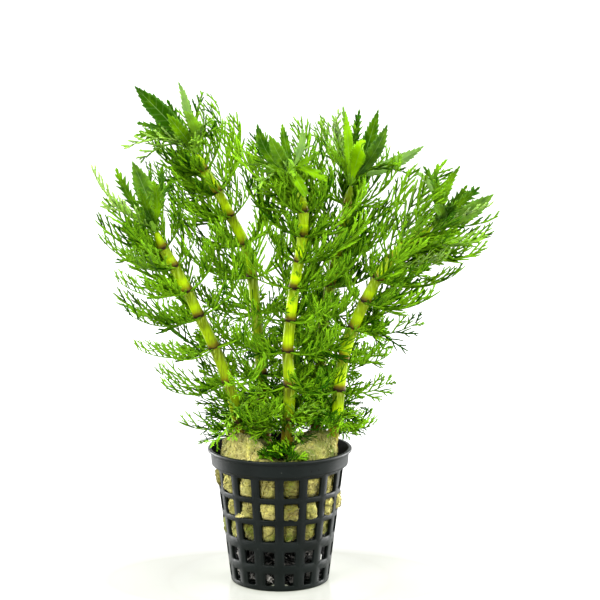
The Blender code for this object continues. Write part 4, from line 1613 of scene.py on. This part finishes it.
@dataclass
class NetPot:
    """The net pot: a tapered wall of windows, a slotted floor, and a band with a lip."""

    columns: int = 16
    wall: float = 1.2 * MM
    base_radius: float = 18.5 * MM
    shoulder_radius: float = 24.0 * MM
    shoulder_height: float = 44.0 * MM
    corner: float = 0.5 * MM
    edge: float = 0.12 * MM
    wall_foot: float = 1.1 * MM
    wall_head: float = 44.5 * MM
    floor_middle: float = 3.0 * MM
    floor_inner: float = 8.0 * MM
    floor_outer: float = 17.4 * MM
    bm: bmesh.types.BMesh = field(default_factory=bmesh.new)

    # Each row of windows in millimetres: bottom, top and width
    ROWS_MM = ((2.1, 6.9, 3.4), (10.3, 15.5, 4.2), (19.4, 25.9, 5.1), (28.0, 34.4, 5.6), (36.4, 43.5, 6.0))
    # The floor's slots in millimetres: inner and outer radius, and width
    SLOT_MM = (9.0, 16.0, 2.2)
    # The band and lip in millimetres, radius and height, from the wall's outside to its inside
    RIM_MM = (
        (25.2, 44.7), (25.7, 45.1), (25.8, 45.7), (26.1, 49.3), (26.3, 49.75), (26.9, 49.95),
        (27.15, 50.2), (27.2, 50.55), (27.15, 50.95), (26.95, 51.15), (26.2, 51.2), (25.9, 51.05),
        (25.75, 50.7), (24.9, 49.6), (24.6, 45.6), (24.1, 45.0),
    )
    # The rounded edge under the wall in millimetres: how far inside the wall, and height
    FOOT_MM = ((0.75, 0.02), (0.3, 0.2), (0.08, 0.55))
    # Shares across a cell at which its border has points
    BORDER = (-1.0, -0.78, -0.45, -0.15, 0.15, 0.45, 0.78, 1.0)
    SIDE_BORDER = (-0.7, -0.35, 0.0, 0.35, 0.7)

    def radius(self, height: Array) -> Array:
        """The wall's outer radius at a height."""
        return self.base_radius + (self.shoulder_radius - self.base_radius) * height / self.shoulder_height

    def wall_point(self, turn: Array, height: Array, depth: float) -> Array:
        """Points a depth inside the wall's outer surface."""
        return turned_point(turn, self.radius(height) - depth, height)

    def floor_point(self, turn: Array, radius: Array, depth: float) -> Array:
        """Points a depth above the floor's underside."""
        return turned_point(turn, radius, np.full_like(radius, depth))

    def build(self, material: Material) -> None:
        """Build and dress the pot.

        Args:
            material: Its material.
        """
        heights = [self.wall_foot]
        for (_, low, _), (high, _, _) in zip(self.ROWS_MM, self.ROWS_MM[1:]):
            heights.append((low + high) / 2 * MM)
        heights.append(self.wall_head)
        for column in range(self.columns):
            middle = (column + 0.5) * 2 * math.pi / self.columns
            for row, window in enumerate(self.ROWS_MM):
                self.add_cell(middle, (heights[row], heights[row + 1]), window, self.wall_point, False)
            self.add_cell(middle, (self.floor_inner, self.floor_outer), self.SLOT_MM, self.floor_point, True)
        self.add_rim()
        self.add_foot()
        bmesh.ops.remove_doubles(self.bm, verts=self.bm.verts, dist=WELD)
        bmesh.ops.recalc_face_normals(self.bm, faces=self.bm.faces)
        mesh = bpy.data.meshes.new("net_pot_basket")
        self.bm.to_mesh(mesh)
        self.bm.free()
        mesh.shade_smooth()
        mesh.set_sharp_from_angle(angle=math.radians(50.0))
        dress(link_piece("net_pot_basket", mesh), material, "pot_plastic", "net_pot")

    def add_cell(self, middle: float, span: tuple, window_mm: tuple, place: object, flip: bool) -> None:
        """Add one window with the bars halfway to its neighbours.

        Args:
            middle: The turn of the window's middle.
            span: The cell's low and high edge.
            window_mm: The window's low and high edge and its width, in millimetres.
            place: Turns a turn, a height and a depth into a point.
            flip: Whether the faces' order is reversed.
        """
        low, high, width = (value * MM for value in window_mm)
        border_turn, border_height = self.border_loop(span)
        radius = (low + high) / 2 if flip else float(self.radius((low + high) / 2))
        wall, edge = self.wall, self.edge
        rings = [place(middle + border_turn, border_height, 0.0)]
        for grow, depth in ((edge, 0.0), (0.0, edge), (0.0, wall - edge), (edge, wall)):
            turn, height = self.window_loop(low, high, width, grow, radius)
            rings.append(place(middle + turn, height, depth))
        rings.append(place(middle + border_turn, border_height, wall))
        self.join(rings, flip)

    def join(self, rings: list[Array], flip: bool) -> None:
        """Add the faces between each ring of points and the next.

        Args:
            rings: The rings, with as many points as one another.
            flip: Whether the faces' order is reversed.
        """
        loops = [[self.bm.verts.new(point) for point in ring] for ring in rings]
        count = len(loops[0])
        for first, second in zip(loops, loops[1:]):
            for index in range(count):
                after = (index + 1) % count
                corners = (first[index], first[after], second[after], second[index])
                self.bm.faces.new(corners[::-1] if flip else corners)

    def border_loop(self, span: tuple[float, float]) -> tuple[Array, Array]:
        """Turns and heights of a cell's border, counter-clockwise from its low left corner.

        Args:
            span: The cell's low and high edge.

        Returns:
            The turns from the cell's middle, and the heights.
        """
        low, high = span
        along = np.array(self.BORDER)
        up = np.array(self.SIDE_BORDER)
        turn = np.concatenate([along, np.ones(len(up)), along[::-1], -np.ones(len(up))])
        height = np.concatenate([-np.ones(len(along)), up, np.ones(len(along)), up[::-1]])
        return turn * math.pi / self.columns, (low + high) / 2 + height * (high - low) / 2

    def window_loop(
        self, low: float, high: float, width: float, grow: float, radius: float,
    ) -> tuple[Array, Array]:
        """Turns and heights of a window's outline, matched to a border's points.

        Args:
            low: The window's low edge.
            high: Its high edge.
            width: Its width.
            grow: How much larger the outline is on each side.
            radius: The radius at which the width is measured.

        Returns:
            The turns from the window's middle, and the heights.
        """
        half = width / 2 + grow
        rise = (high - low) / 2 + grow
        corner = self.corner + grow
        cut = corner * (1 - math.sqrt(0.5))
        flat = half - corner
        tall = rise - corner
        along = np.array([-half + cut, -flat, -flat / 3, -flat / 9, flat / 9, flat / 3, flat, half - cut])
        drop = np.full(len(along), -rise)
        drop[[0, -1]] += cut
        up = np.array([-tall, -tall / 2, 0.0, tall / 2, tall])
        across = np.concatenate([along, np.full(len(up), half), along[::-1], np.full(len(up), -half)])
        height = np.concatenate([drop, up, -drop, up[::-1]])
        return across / radius, (low + high) / 2 + height

    def add_rim(self) -> None:
        """Add the band and lip on top of the wall."""
        head = float(self.radius(self.wall_head))
        rim = [(radius * MM, height * MM) for radius, height in self.RIM_MM]
        self.add_rings([(head, self.wall_head), *rim, (head - self.wall, self.wall_head)])

    def add_foot(self) -> None:
        """Add the rounded edge under the wall, and the floor's middle."""
        foot = float(self.radius(self.wall_foot))
        edge = [(foot - inset * MM, height * MM) for inset, height in self.FOOT_MM]
        self.add_rings([(self.floor_outer, 0.0), *edge, (foot, self.wall_foot)])
        self.add_rings([(foot - self.wall, self.wall_foot), (self.floor_outer, self.wall)])
        self.add_rings([(0.0, 0.0), (self.floor_middle, 0.0), (self.floor_inner, 0.0)])
        self.add_rings([(self.floor_inner, self.wall), (self.floor_middle, self.wall), (0.0, self.wall)])

    def add_rings(self, profile: list[tuple[float, float]]) -> None:
        """Add a turned strip with the cells' own spacing around.

        Args:
            profile: Radius and height of each ring.
        """
        shares = np.array(self.BORDER[:-1])
        turns = (np.arange(self.columns)[:, None] + 0.5 + shares[None] / 2).ravel() * 2 * math.pi / self.columns
        rings = [turned_point(turns, radius, np.full_like(turns, height)) for radius, height in profile]
        self.join(rings, False)


@dataclass
class Wool(Piece):
    """The plug of mineral wool, with two lobes that meet at the front."""

    pot: NetPot
    around: int = 224
    spacing: float = 0.62 * MM
    seam_depth: float = 7.8 * MM
    seam_widths: tuple = (math.radians(30.0), math.radians(18.0))
    right_lump: float = 4.4 * MM
    left_rise: float = 1.6 * MM
    bulge: float = 2.7 * MM
    fibres: int = 1700
    locks: int = 1600
    wisp_threads: int = 34
    seed: int = 5

    # The loose trait: pale loose fibres above 0, and painted shade below 0
    traits = ("damp", "loose", "under")
    slot = "wool_fibre"
    # Radius and height in millimetres, from the plug's underside over its side to its middle
    PROFILE_MM = (
        (0.5, 19.2), (8.0, 18.9), (15.0, 18.9), (18.2, 19.5), (19.4, 21.6), (20.6, 32.0), (21.9, 42.0),
        (22.2, 48.6), (20.6, 53.6), (16.5, 56.0), (11.5, 54.6), (6.0, 51.2), (0.5, 50.6),
    )
    SEAMS = (math.radians(-88.0), math.radians(97.0))
    # How deep the painted shade is in the wool behind the front windows: for each row, its share in columns 9
    # to 14
    BROWNED = {
        4: (0.20, 0.05, 0.45, 0.90, 0.35, 0.75), 3: (0.15, 0.25, 0.15, 1.0, 0.25, 0.10),
        2: (0.30, 0.95, 0.30, 0.40, 0.55, 0.35),
    }
    # Where the spilled tuft starts and ends around the pot
    WISP_TURNS = (math.radians(-127.0), math.radians(-136.0))

    def names(self) -> tuple[str, str]:
        """The piece's name, and the solid's."""
        return "rockwool_plug", "rockwool"

    def surface(self, spots: tuple) -> Array:
        """Points of the uneven surface.

        Args:
            spots: Turns, radii and heights of the even form.

        Returns:
            The points.
        """
        turn, radius, height = spots
        rim_share = np.clip(radius / (16 * MM), 0.0, 1.0)
        brow = np.clip((height - 46 * MM) / (5 * MM), 0.0, 1.0)
        seam = sum(self.dip(turn, at, *self.seam_widths) for at in self.SEAMS)
        swell = self.right_lump * self.dip(turn, -0.22, 0.34, 0.34)
        rise = swell - self.seam_depth * seam - self.left_rise * np.cos(turn)
        height = height + brow * rim_share * rise
        even = turned_point(turn, radius, height)
        lump = lumps(even, 6.5 * MM) * 0.85 * MM + lumps(even, 2.4 * MM) * 0.75 * MM
        lump = lump + lumps(even, 1.0 * MM) * 0.32 * MM
        return even + self.outward(even) * (lump + self.in_window((turn, radius, height)))[..., None]

    def outward(self, points: Array) -> Array:
        """The way out of the plug at points."""
        return unit(points - np.array((0.0, 0.0, 36 * MM)))

    def dip(self, turn: Array, at: float, before: float, after: float) -> Array:
        """A smooth bump of height one around a turn.

        Args:
            turn: Turns around the pot.
            at: The bump's middle.
            before: How wide it is before its middle.
            after: How wide it is after it.

        Returns:
            The bump at each turn.
        """
        away = np.remainder(turn - at + np.pi, 2 * np.pi) - np.pi
        return np.exp(-((away / np.where(away < 0, before, after)) ** 2))

    def in_window(self, spots: tuple) -> Array:
        """How far the wool is pressed out where it meets a window.

        Args:
            spots: Turns and radii of the even form, and heights after its swell.

        Returns:
            The outward shift, in metres.
        """
        turn, radius, height = spots
        pitch = 2 * np.pi / self.pot.columns
        column = np.floor(turn / pitch)
        shift = np.full_like(turn, -0.6 * MM)
        for row, (low, high, width) in enumerate(self.pot.ROWS_MM):
            press = 0.80 + 0.45 * np.sin(column * 12.9898 + row * 78.233)
            lean = 0.55 * np.sin(column * 39.346 + row * 11.135)
            aside = np.abs(turn - (column + 0.5) * pitch) * radius - lean * width / 8 * MM
            middle = ((low + high) / 2 + lean * 0.6) * MM
            across = np.clip(1.12 - (aside / (width / 2 * MM)) ** 2, 0.0, 1.0)
            upright = np.clip(1.12 - (np.abs(height - middle) / ((high - low) / 2 * MM)) ** 2, 0.0, 1.0)
            shift = np.maximum(shift, np.sqrt(across * upright) * self.bulge * press - 0.6 * MM)
        return np.where(radius > 17 * MM, shift, 0.0)

    def shadow(self, spots: tuple) -> Array:
        """The wool's painted shade: in the front seam, towards the top of each window under its bar, and deeper
        in some windows than in others.

        Args:
            spots: Turns, radii and heights of the even form.

        Returns:
            The loose trait of the surface, from 0 to -1, which carries the painted shade.
        """
        turn, radius, height = spots
        seam = self.dip(turn, self.SEAMS[0], 0.30, 0.26)
        top = np.clip((height - 46 * MM) / (4 * MM), 0.0, 1.0)
        top = top * np.clip((24 * MM - radius) / (3 * MM), 0.0, 1.0)
        column = np.floor(turn / (2 * np.pi / self.pot.columns))
        dark = 0.95 * seam * top
        for row, (low, high, _) in enumerate(self.pot.ROWS_MM):
            share = (height / MM - low) / (high - low)
            inside = np.clip(4 * (share + 0.25), 0.0, 1.0) * np.clip(4 * (1.25 - share), 0.0, 1.0)
            tinge = np.clip(0.45 + 0.90 * np.sin(column * 7.31 + row * 3.77 + 4.1), 0.0, 0.9)
            # Each listed front window's share of painted shade
            for window, brown in enumerate(self.BROWNED.get(row, ()), 9):
                tinge = np.where(column == window, brown, tinge)
            dark = dark + inside * (0.08 + 0.92 * tinge) * (0.60 + 0.40 * np.clip(share, 0.0, 1.0))
        return -np.clip(dark, 0.0, 1.0)

    def damp(self, points: Array) -> Array:
        """How green the wool is: stained all over and greener low down, with painted shade and bounced light on
        its top, more on the right, and at the front middle.

        Args:
            points: Points of its surface.

        Returns:
            The damp trait at each point, from 0 to 1.
        """
        side = points[..., 0] / (20 * MM)
        low = np.clip((30 * MM - points[..., 2]) / (8 * MM), 0.0, 1.0)
        top = np.clip((points[..., 2] - 47 * MM) / (4 * MM), 0.0, 1.0)
        middle = np.exp(-((points[..., 0] - 5 * MM) / (6 * MM)) ** 2) * (points[..., 1] < 0)
        return np.clip(0.26 + 0.50 * low + top * (0.60 + 0.30 * side) + 0.45 * middle, 0.0, 1.0)

    def fill(self) -> None:
        """Add the plug, its fibres and its tuft."""
        profile = np.array([(radius, 0.0, height) for radius, height in self.PROFILE_MM]) * MM
        line, _ = smooth_line(profile, self.spacing)
        turn, radius = np.meshgrid(np.arange(self.around) * 2 * np.pi / self.around, line[:, 0])
        height = np.broadcast_to(line[:, 2][:, None], turn.shape)
        spots = (turn, radius, height)
        points = self.surface(spots)
        damp = self.damp(points)
        marks = np.stack([damp, self.shadow(spots), np.zeros_like(damp)], -1)
        end = points[-1].mean(axis=0)
        self.sheaf.add_forms(points[None], end[None], np.concatenate([marks, marks[-1:]])[None])
        top = self.rng.uniform(0.24, 0.98, self.fibres)
        self.add_fibres(line, top, 3.2, (0.05, 0.10), (0.1, 0.5))
        side = self.rng.uniform(0.24, 0.86, self.locks)
        self.add_fibres(line, side, 2.6, (0.12, 0.34), (0.0, 0.35))
        self.add_wisp()

    def add_fibres(self, line: Array, starts: Array, length: float, widths: tuple, arches: tuple) -> None:
        """Add loose fibres that lie on the surface.

        Args:
            line: The even form's profile.
            starts: Where the fibres start, as shares of the profile.
            length: About how far they run, in samples of the profile and in millimetres around.
            widths: The least and the greatest half width, in millimetres.
            arches: How far they stand off the surface, in millimetres.
        """
        rng = self.rng
        count = len(starts)
        steps = np.linspace(0.0, 1.0, 6)[None]
        last = len(line) - 1
        turn = rng.uniform(0.0, 2 * np.pi, count)[:, None]
        lay = np.pi * lumps(np.concatenate([np.cos(turn), np.sin(turn), starts[:, None] * 4], axis=1), 0.35)
        lay = lay + rng.normal(0.0, 0.45, count)
        run = (length * 1.5 * np.cos(lay))[:, None]
        place = np.clip(starts[:, None] * last + run * steps, 0.0, last)
        radius, height = (np.interp(place, np.arange(len(line)), line[:, axis]) for axis in (0, 2))
        sweep = (length * MM * np.sin(lay))[:, None] / np.maximum(radius[:, :1], 3 * MM)
        turn = turn + sweep * (steps + rng.normal(0.0, 0.25, count)[:, None] * steps**2)
        spots = (np.remainder(turn, 2 * np.pi), radius, height)
        lines = self.surface(spots)
        out = self.outward(lines)
        arch = rng.uniform(*arches, count)[:, None] * np.sin(np.pi * steps) + 0.02
        lines = lines + out * (arch * MM)[..., None]
        thick = rng.uniform(*widths, count)[:, None] * MM * np.array([0.7, 1.0, 1.0, 0.9, 0.6])[None]
        # Fibres take the painted shade of the wool under them
        shade = self.shadow(spots)
        loose = np.clip(rng.uniform(-0.7, 0.8, count)[:, None] + 1.7 * shade, -1.0, 1.0)
        marks = np.stack([self.damp(lines) * 0.5, loose], -1)
        self.sheaf.add_strands(lines, thick, out[:, 0], 1.0, 3, marks)

    def add_wisp(self) -> None:
        """Add the tuft that spills out of a front window over the bar beside it."""
        rng = self.rng
        count = self.wisp_threads
        first, last = self.WISP_TURNS
        steps = np.linspace(0.0, 1.0, 6)[None]
        start = first + rng.normal(0.0, 0.03, count)[:, None]
        turn = start + (last - first) * rng.uniform(0.45, 1.05, count)[:, None] * steps
        height = (28.4 + rng.uniform(0.0, 2.2, count)[:, None] * (1 - steps) - 0.6 * steps**2) * MM
        depth = 0.9 - 1.5 * np.sin(np.pi * 0.5 * steps) * rng.uniform(0.8, 1.1, count)[:, None]
        lines = turned_point(turn, self.pot.radius(height) - depth * MM, height)
        thick = np.full((count, 5), 0.13 * MM)
        marks = np.stack([np.zeros_like(turn), np.full_like(turn, 0.6)], -1)
        self.sheaf.add_strands(lines, thick, unit(lines[:, 0]), 1.0, 3, marks)


@dataclass
class Roots(Piece):
    """The tangle of roots below the wool, near black to paint the shade there, with a few pale ones in it."""

    roots: int = 260
    pale_share: float = 0.03
    steps: int = 9
    top: float = 20.5 * MM
    floor: float = 1.7 * MM
    reach: float = 16.6 * MM
    mat: int = 90
    rootlets: int = 26
    seed: int = 17

    traits = ("tone", "under")
    slot = "stem_skin"
    # Knots of pale rootlets: their middles in millimetres, and their tone
    PALE_TUFTS_MM = (
        (-3.9, -15.6, 4.4, 0.0), (-10.2, -13.0, 4.6, 0.75), (4.6, -15.0, 3.6, 0.80), (11.2, -11.8, 5.2, 0.70),
        (-14.6, -8.5, 5.6, 0.25), (-14.8, -8.8, 12.6, 0.35), (11.2, -13.0, 13.8, 0.55),
    )

    def names(self) -> tuple[str]:
        """The piece's name."""
        return ("hanging_roots",)

    def fill(self) -> None:
        """Add the hanging roots, the mat on the floor and the pale tufts."""
        rng = self.rng
        count = self.roots
        turn = rng.uniform(0.0, 2 * np.pi, count)
        radius = np.sqrt(rng.uniform(0.02, 1.0, count)) * self.reach
        steps = np.linspace(0.0, 1.0, self.steps)
        drop = rng.uniform(0.65, 1.0, count)[:, None] * (self.top - self.floor)
        heading = turn[:, None] + rng.normal(0.0, 0.7, count)[:, None] * steps
        heading = heading + 0.25 * np.sin(steps * rng.uniform(4.0, 12.0, count)[:, None])
        spread = radius[:, None] * (1 - 0.16 * steps[None] + 0.05 * np.sin(3 * np.pi * steps)[None])
        lines = turned_point(heading, spread, self.top - drop * steps[None] ** 0.9)
        pale = rng.uniform(size=count) < self.pale_share
        thick = np.where(pale, rng.uniform(0.3, 0.55, count), rng.uniform(0.25, 0.75, count))
        widths = thick[:, None] * MM * (1.0 - 0.45 * steps[None, :-1])
        tone = np.where(pale, rng.uniform(0.0, 0.3, count), rng.uniform(0.8, 1.1, count))
        marks = np.repeat(tone[:, None, None], self.steps, axis=1)
        upward = np.repeat(np.array([[1.0, 0.0, 0.0]]), count, axis=0)
        self.sheaf.add_strands(lines, widths, upward, 1.0, 6, marks)
        self.add_mat()
        for *middle, shade in self.PALE_TUFTS_MM:
            self.add_tuft(np.array(middle) * MM, shade)

    def add_mat(self) -> None:
        """Add the near-black roots that lie on the pot's floor, which paint the shade on it."""
        rng = self.rng
        count = self.mat
        turn = rng.uniform(0.0, 2 * np.pi, count)
        radius = np.sqrt(rng.uniform(0.0, 1.0, count)) * 13.0 * MM
        heading = rng.uniform(0.0, 2 * np.pi, count)
        steps = np.linspace(-0.5, 0.5, self.steps)
        length = rng.uniform(5.0, 14.0, count)[:, None] * MM * steps
        flat = np.stack([
            (radius * np.cos(turn))[:, None] + length * np.cos(heading)[:, None],
            (radius * np.sin(turn))[:, None] + length * np.sin(heading)[:, None],
        ], -1)
        flat = flat * np.minimum(1.0, 15.5 * MM / np.linalg.norm(flat, axis=-1, keepdims=True))
        height = rng.uniform(2.0, 4.2, count)[:, None] * MM + 0 * steps
        lines = np.concatenate([flat, height[..., None]], axis=-1)
        widths = rng.uniform(0.3, 0.7, count)[:, None] * MM * np.ones((1, self.steps - 1))
        marks = np.full((count, self.steps, 1), 1.0)
        self.sheaf.add_strands(lines, widths, np.repeat(UP[None], count, axis=0), 1.0, 5, marks)

    def add_tuft(self, centre: Array, tone: float) -> None:
        """Add a small knot of pale rootlets.

        Args:
            centre: Its middle.
            tone: Its tone, from 0, pale, to 1, dark.
        """
        count = self.rootlets
        steps = np.linspace(-0.5, 0.5, 5)
        heading = unit(self.rng.normal(0.0, 1.0, (count, 3)))
        start = centre + self.rng.normal(0.0, 0.5 * MM, (count, 3))
        lines = start[:, None] + heading[:, None] * (2.4 * MM * steps)[None, :, None]
        lines = lines + heading[:, None, [1, 2, 0]] * (1.6 * MM * steps**2)[None, :, None]
        widths = np.full((count, 4), 0.16 * MM)
        self.sheaf.add_strands(lines, widths, heading[:, [2, 0, 1]], 1.0, 4, np.full((count, 5, 1), tone))


@dataclass
class LowLeaves(Piece):
    """Short curly leaves around the stems' feet, which lie over the wool."""

    per_stem: int = 28
    edge: float = 24.5 * MM
    in_notch: int = 40
    seed: int = 23

    # The middle of the tuft they make
    MIDDLE = np.array((-0.0035, 0.0, 0.0))

    def names(self) -> tuple[str]:
        """The piece's name."""
        return ("low_leaves",)

    def fill(self) -> None:
        """Add the leaves around each stem, and those in the notch."""
        for name in STEM_ROUTES_MM:
            foot, first = StemRoute(name).points[:2]
            for index in range(self.per_stem):
                self.add_leaf(foot, first, index)
        for index in range(self.in_notch):
            self.add_to_notch(index)

    def add_leaf(self, foot: Array, first: Array, index: int) -> None:
        """Add one leaf.

        Args:
            foot: The stem's foot in the wool.
            first: The stem's first node above the wool.
            index: The leaf's number on its stem.
        """
        rng = self.rng
        turn = index * 2.4 + rng.uniform(-0.4, 0.4)
        start = foot + (first - foot) * rng.uniform(0.82, 1.12)
        out = np.array((math.cos(turn), math.sin(turn), 0.0))
        length = rng.uniform(8.0, 16.0) * MM
        length *= min(1.0, self.edge / float(np.linalg.norm((start + out * length - self.MIDDLE)[:2])))
        top = max(float(start[2]) + rng.uniform(-0.45, 0.60) * length, 53.5 * MM)
        middle = start + out * length * 0.55
        middle[2] = max(float(start[2]), top) + rng.uniform(0.5, 2.0) * MM
        end = start + out * length
        end[2] = top
        line = MidLine(np.array([start + out * 1.6 * MM, middle, end]), unit(UP - out * 0.2))
        tone = rng.choice([0.0, 0.8, 1.3], p=[0.42, 0.38, 0.20]) + rng.normal(0.0, 0.15)
        # The brightest leaves get painted highlights on their threads
        frost = 0.22 if tone > 1.1 else 0.0
        CutLeaf(self.sheaf, line, rng.uniform(4.4, 6.6) * MM, MOSSY, tone, frost, rng, rib_steps=8).grow()

    def add_to_notch(self, index: int) -> None:
        """Add one small leaf between the two lobes of wool in front.

        Args:
            index: The leaf's number.
        """
        rng = self.rng
        start = np.array((1.6 + rng.uniform(-4.5, 4.5), rng.uniform(-18.0, -5.0), 0.0)) * MM
        start[2] = rng.uniform(48.8, 51.8) * MM
        turn = (0.0 if index % 2 else math.pi) + rng.normal(0.0, 0.6)
        out = np.array((math.cos(turn), math.sin(turn), 0.0))
        length = rng.uniform(4.0, 7.0) * MM
        middle = start + out * length * 0.5 + UP * 1.2 * MM
        end = start + out * length + UP * rng.uniform(0.2, 2.2) * MM
        # Most get a deep tone, which paints the shade in the notch
        tone = rng.choice([-0.1, 0.7], p=[0.65, 0.35]) + rng.normal(0.0, 0.15)
        line = MidLine(np.array([start, middle, end]), unit(UP + FRONT * 0.5))
        CutLeaf(self.sheaf, line, rng.uniform(2.6, 4.2) * MM, MOSSY, tone, 0.0, rng, rib_steps=6).grow()


@dataclass
class Studio:
    """A white sweep, soft lights and the camera at the photograph's angle."""

    image: float = 600.0
    focal: float = 2004.0
    sensor: float = 36.0
    camera_at: tuple = (0.0076, -0.74, 0.215)
    pitch: float = math.radians(8.3)
    world_light: float = 0.22
    sweep_width: float = 3.6
    sweep_front: float = -1.4
    sweep_back: float = 0.75
    sweep_radius: float = 0.45
    sweep_height: float = 1.9
    sweep_steps: int = 12
    lit_point: tuple = (0.0, 0.0, 0.09)

    # Each light's name, place, side in metres and power in watts
    LIGHTS = (
        ("left_box", (-0.55, -0.70, 0.55), 0.45, 14.0), ("right_box", (0.70, -0.55, 0.45), 0.45, 10.0),
        ("left_side_box", (-0.80, 0.02, 0.24), 0.45, 5.0), ("right_side_box", (0.80, 0.02, 0.24), 0.45, 6.5),
        ("top_box", (0.05, -0.15, 0.95), 0.60, 13.0), ("back_left_box", (-0.62, 0.42, 0.22), 0.45, 13.5),
        ("back_right_box", (0.66, 0.40, 0.22), 0.45, 15.0),
    )

    def build(self) -> None:
        """Build the studio."""
        self.add_camera()
        self.add_world()
        self.add_sweep()
        for light in self.LIGHTS:
            self.add_light(*light)
        bpy.context.scene.view_settings.view_transform = "Standard"

    def add_camera(self) -> None:
        """Add the camera."""
        data = bpy.data.cameras.new("camera")
        data.sensor_width = self.sensor
        data.lens = self.focal / self.image * self.sensor
        data.clip_start = 0.01
        data.clip_end = 20.0
        camera = link_piece("camera", data)
        camera.location = self.camera_at
        camera.rotation_euler = (math.pi / 2 - self.pitch, 0.0, 0.0)
        bpy.context.scene.camera = camera

    def add_world(self) -> None:
        """Make the surroundings white to the camera, and dim as light."""
        world = bpy.data.worlds.new("surroundings")
        world.use_nodes = True
        bpy.context.scene.world = world
        graph = Graph(world.node_tree)
        world.node_tree.nodes.clear()
        seen = graph.add("ShaderNodeLightPath").outputs["Is Camera Ray"]
        strength = graph.between(seen, 0.0, 1.0, self.world_light, 1.0)
        white = graph.add("ShaderNodeBackground", {"Color": (1.0, 1.0, 1.0), "Strength": strength})
        graph.add("ShaderNodeOutputWorld", {"Surface": white.outputs[0]})

    def add_sweep(self) -> None:
        """Add the floor, which curves up into a backdrop."""
        path = [(self.sweep_front, 0.0), (self.sweep_back, 0.0)]
        for step in range(1, self.sweep_steps + 1):
            turn = step / self.sweep_steps * math.pi / 2
            path.append((
                self.sweep_back + self.sweep_radius * math.sin(turn),
                self.sweep_radius * (1 - math.cos(turn)),
            ))
        path.append((self.sweep_back + self.sweep_radius, self.sweep_height))
        half = self.sweep_width / 2
        points = [(side, y, z) for y, z in path for side in (-half, half)]
        faces = [(2 * i, 2 * i + 1, 2 * i + 3, 2 * i + 2) for i in range(len(path) - 1)]
        mesh = bpy.data.meshes.new("studio_sweep")
        mesh.from_pydata(points, [], faces)
        mesh.shade_smooth()
        mesh.materials.append(SweepFinish().build())
        link_piece("studio_sweep", mesh)

    def add_light(self, name: str, place: tuple, size: float, power: float) -> None:
        """Add a soft square light that faces the plant.

        Args:
            name: The light's name.
            place: Where it is, in metres.
            size: Its side, in metres.
            power: Its power, in watts.
        """
        data = bpy.data.lights.new(name, "AREA")
        data.size = size
        data.energy = power
        light = link_piece(name, data)
        light.location = place
        towards = Vector(self.lit_point) - Vector(place)
        light.rotation_euler = towards.to_track_quat("-Z", "Y").to_euler()


def main() -> None:
    """Build every piece of the plant, and then the studio."""
    logging.basicConfig(level=logging.INFO, format="%(message)s")
    finishes = (PlasticFinish, WoolFinish, StemFinish, LeafFinish, ShootFinish, RootFinish)
    plastic, wool, skin, cut, broad, root = (finish().build() for finish in finishes)
    pot = NetPot()
    pot.build(plastic)
    Wool(pot).build(wool)
    Roots().build(root)
    for name in STEM_ROUTES_MM:
        route = StemRoute(name)
        Stem(route).build(skin)
        for level in route.levels():
            Whorl(route, level).build(cut)
        Crown(route).build(cut, broad)
    LowLeaves().build(cut)
    Studio().build()


if __name__ == "__main__":
    main()
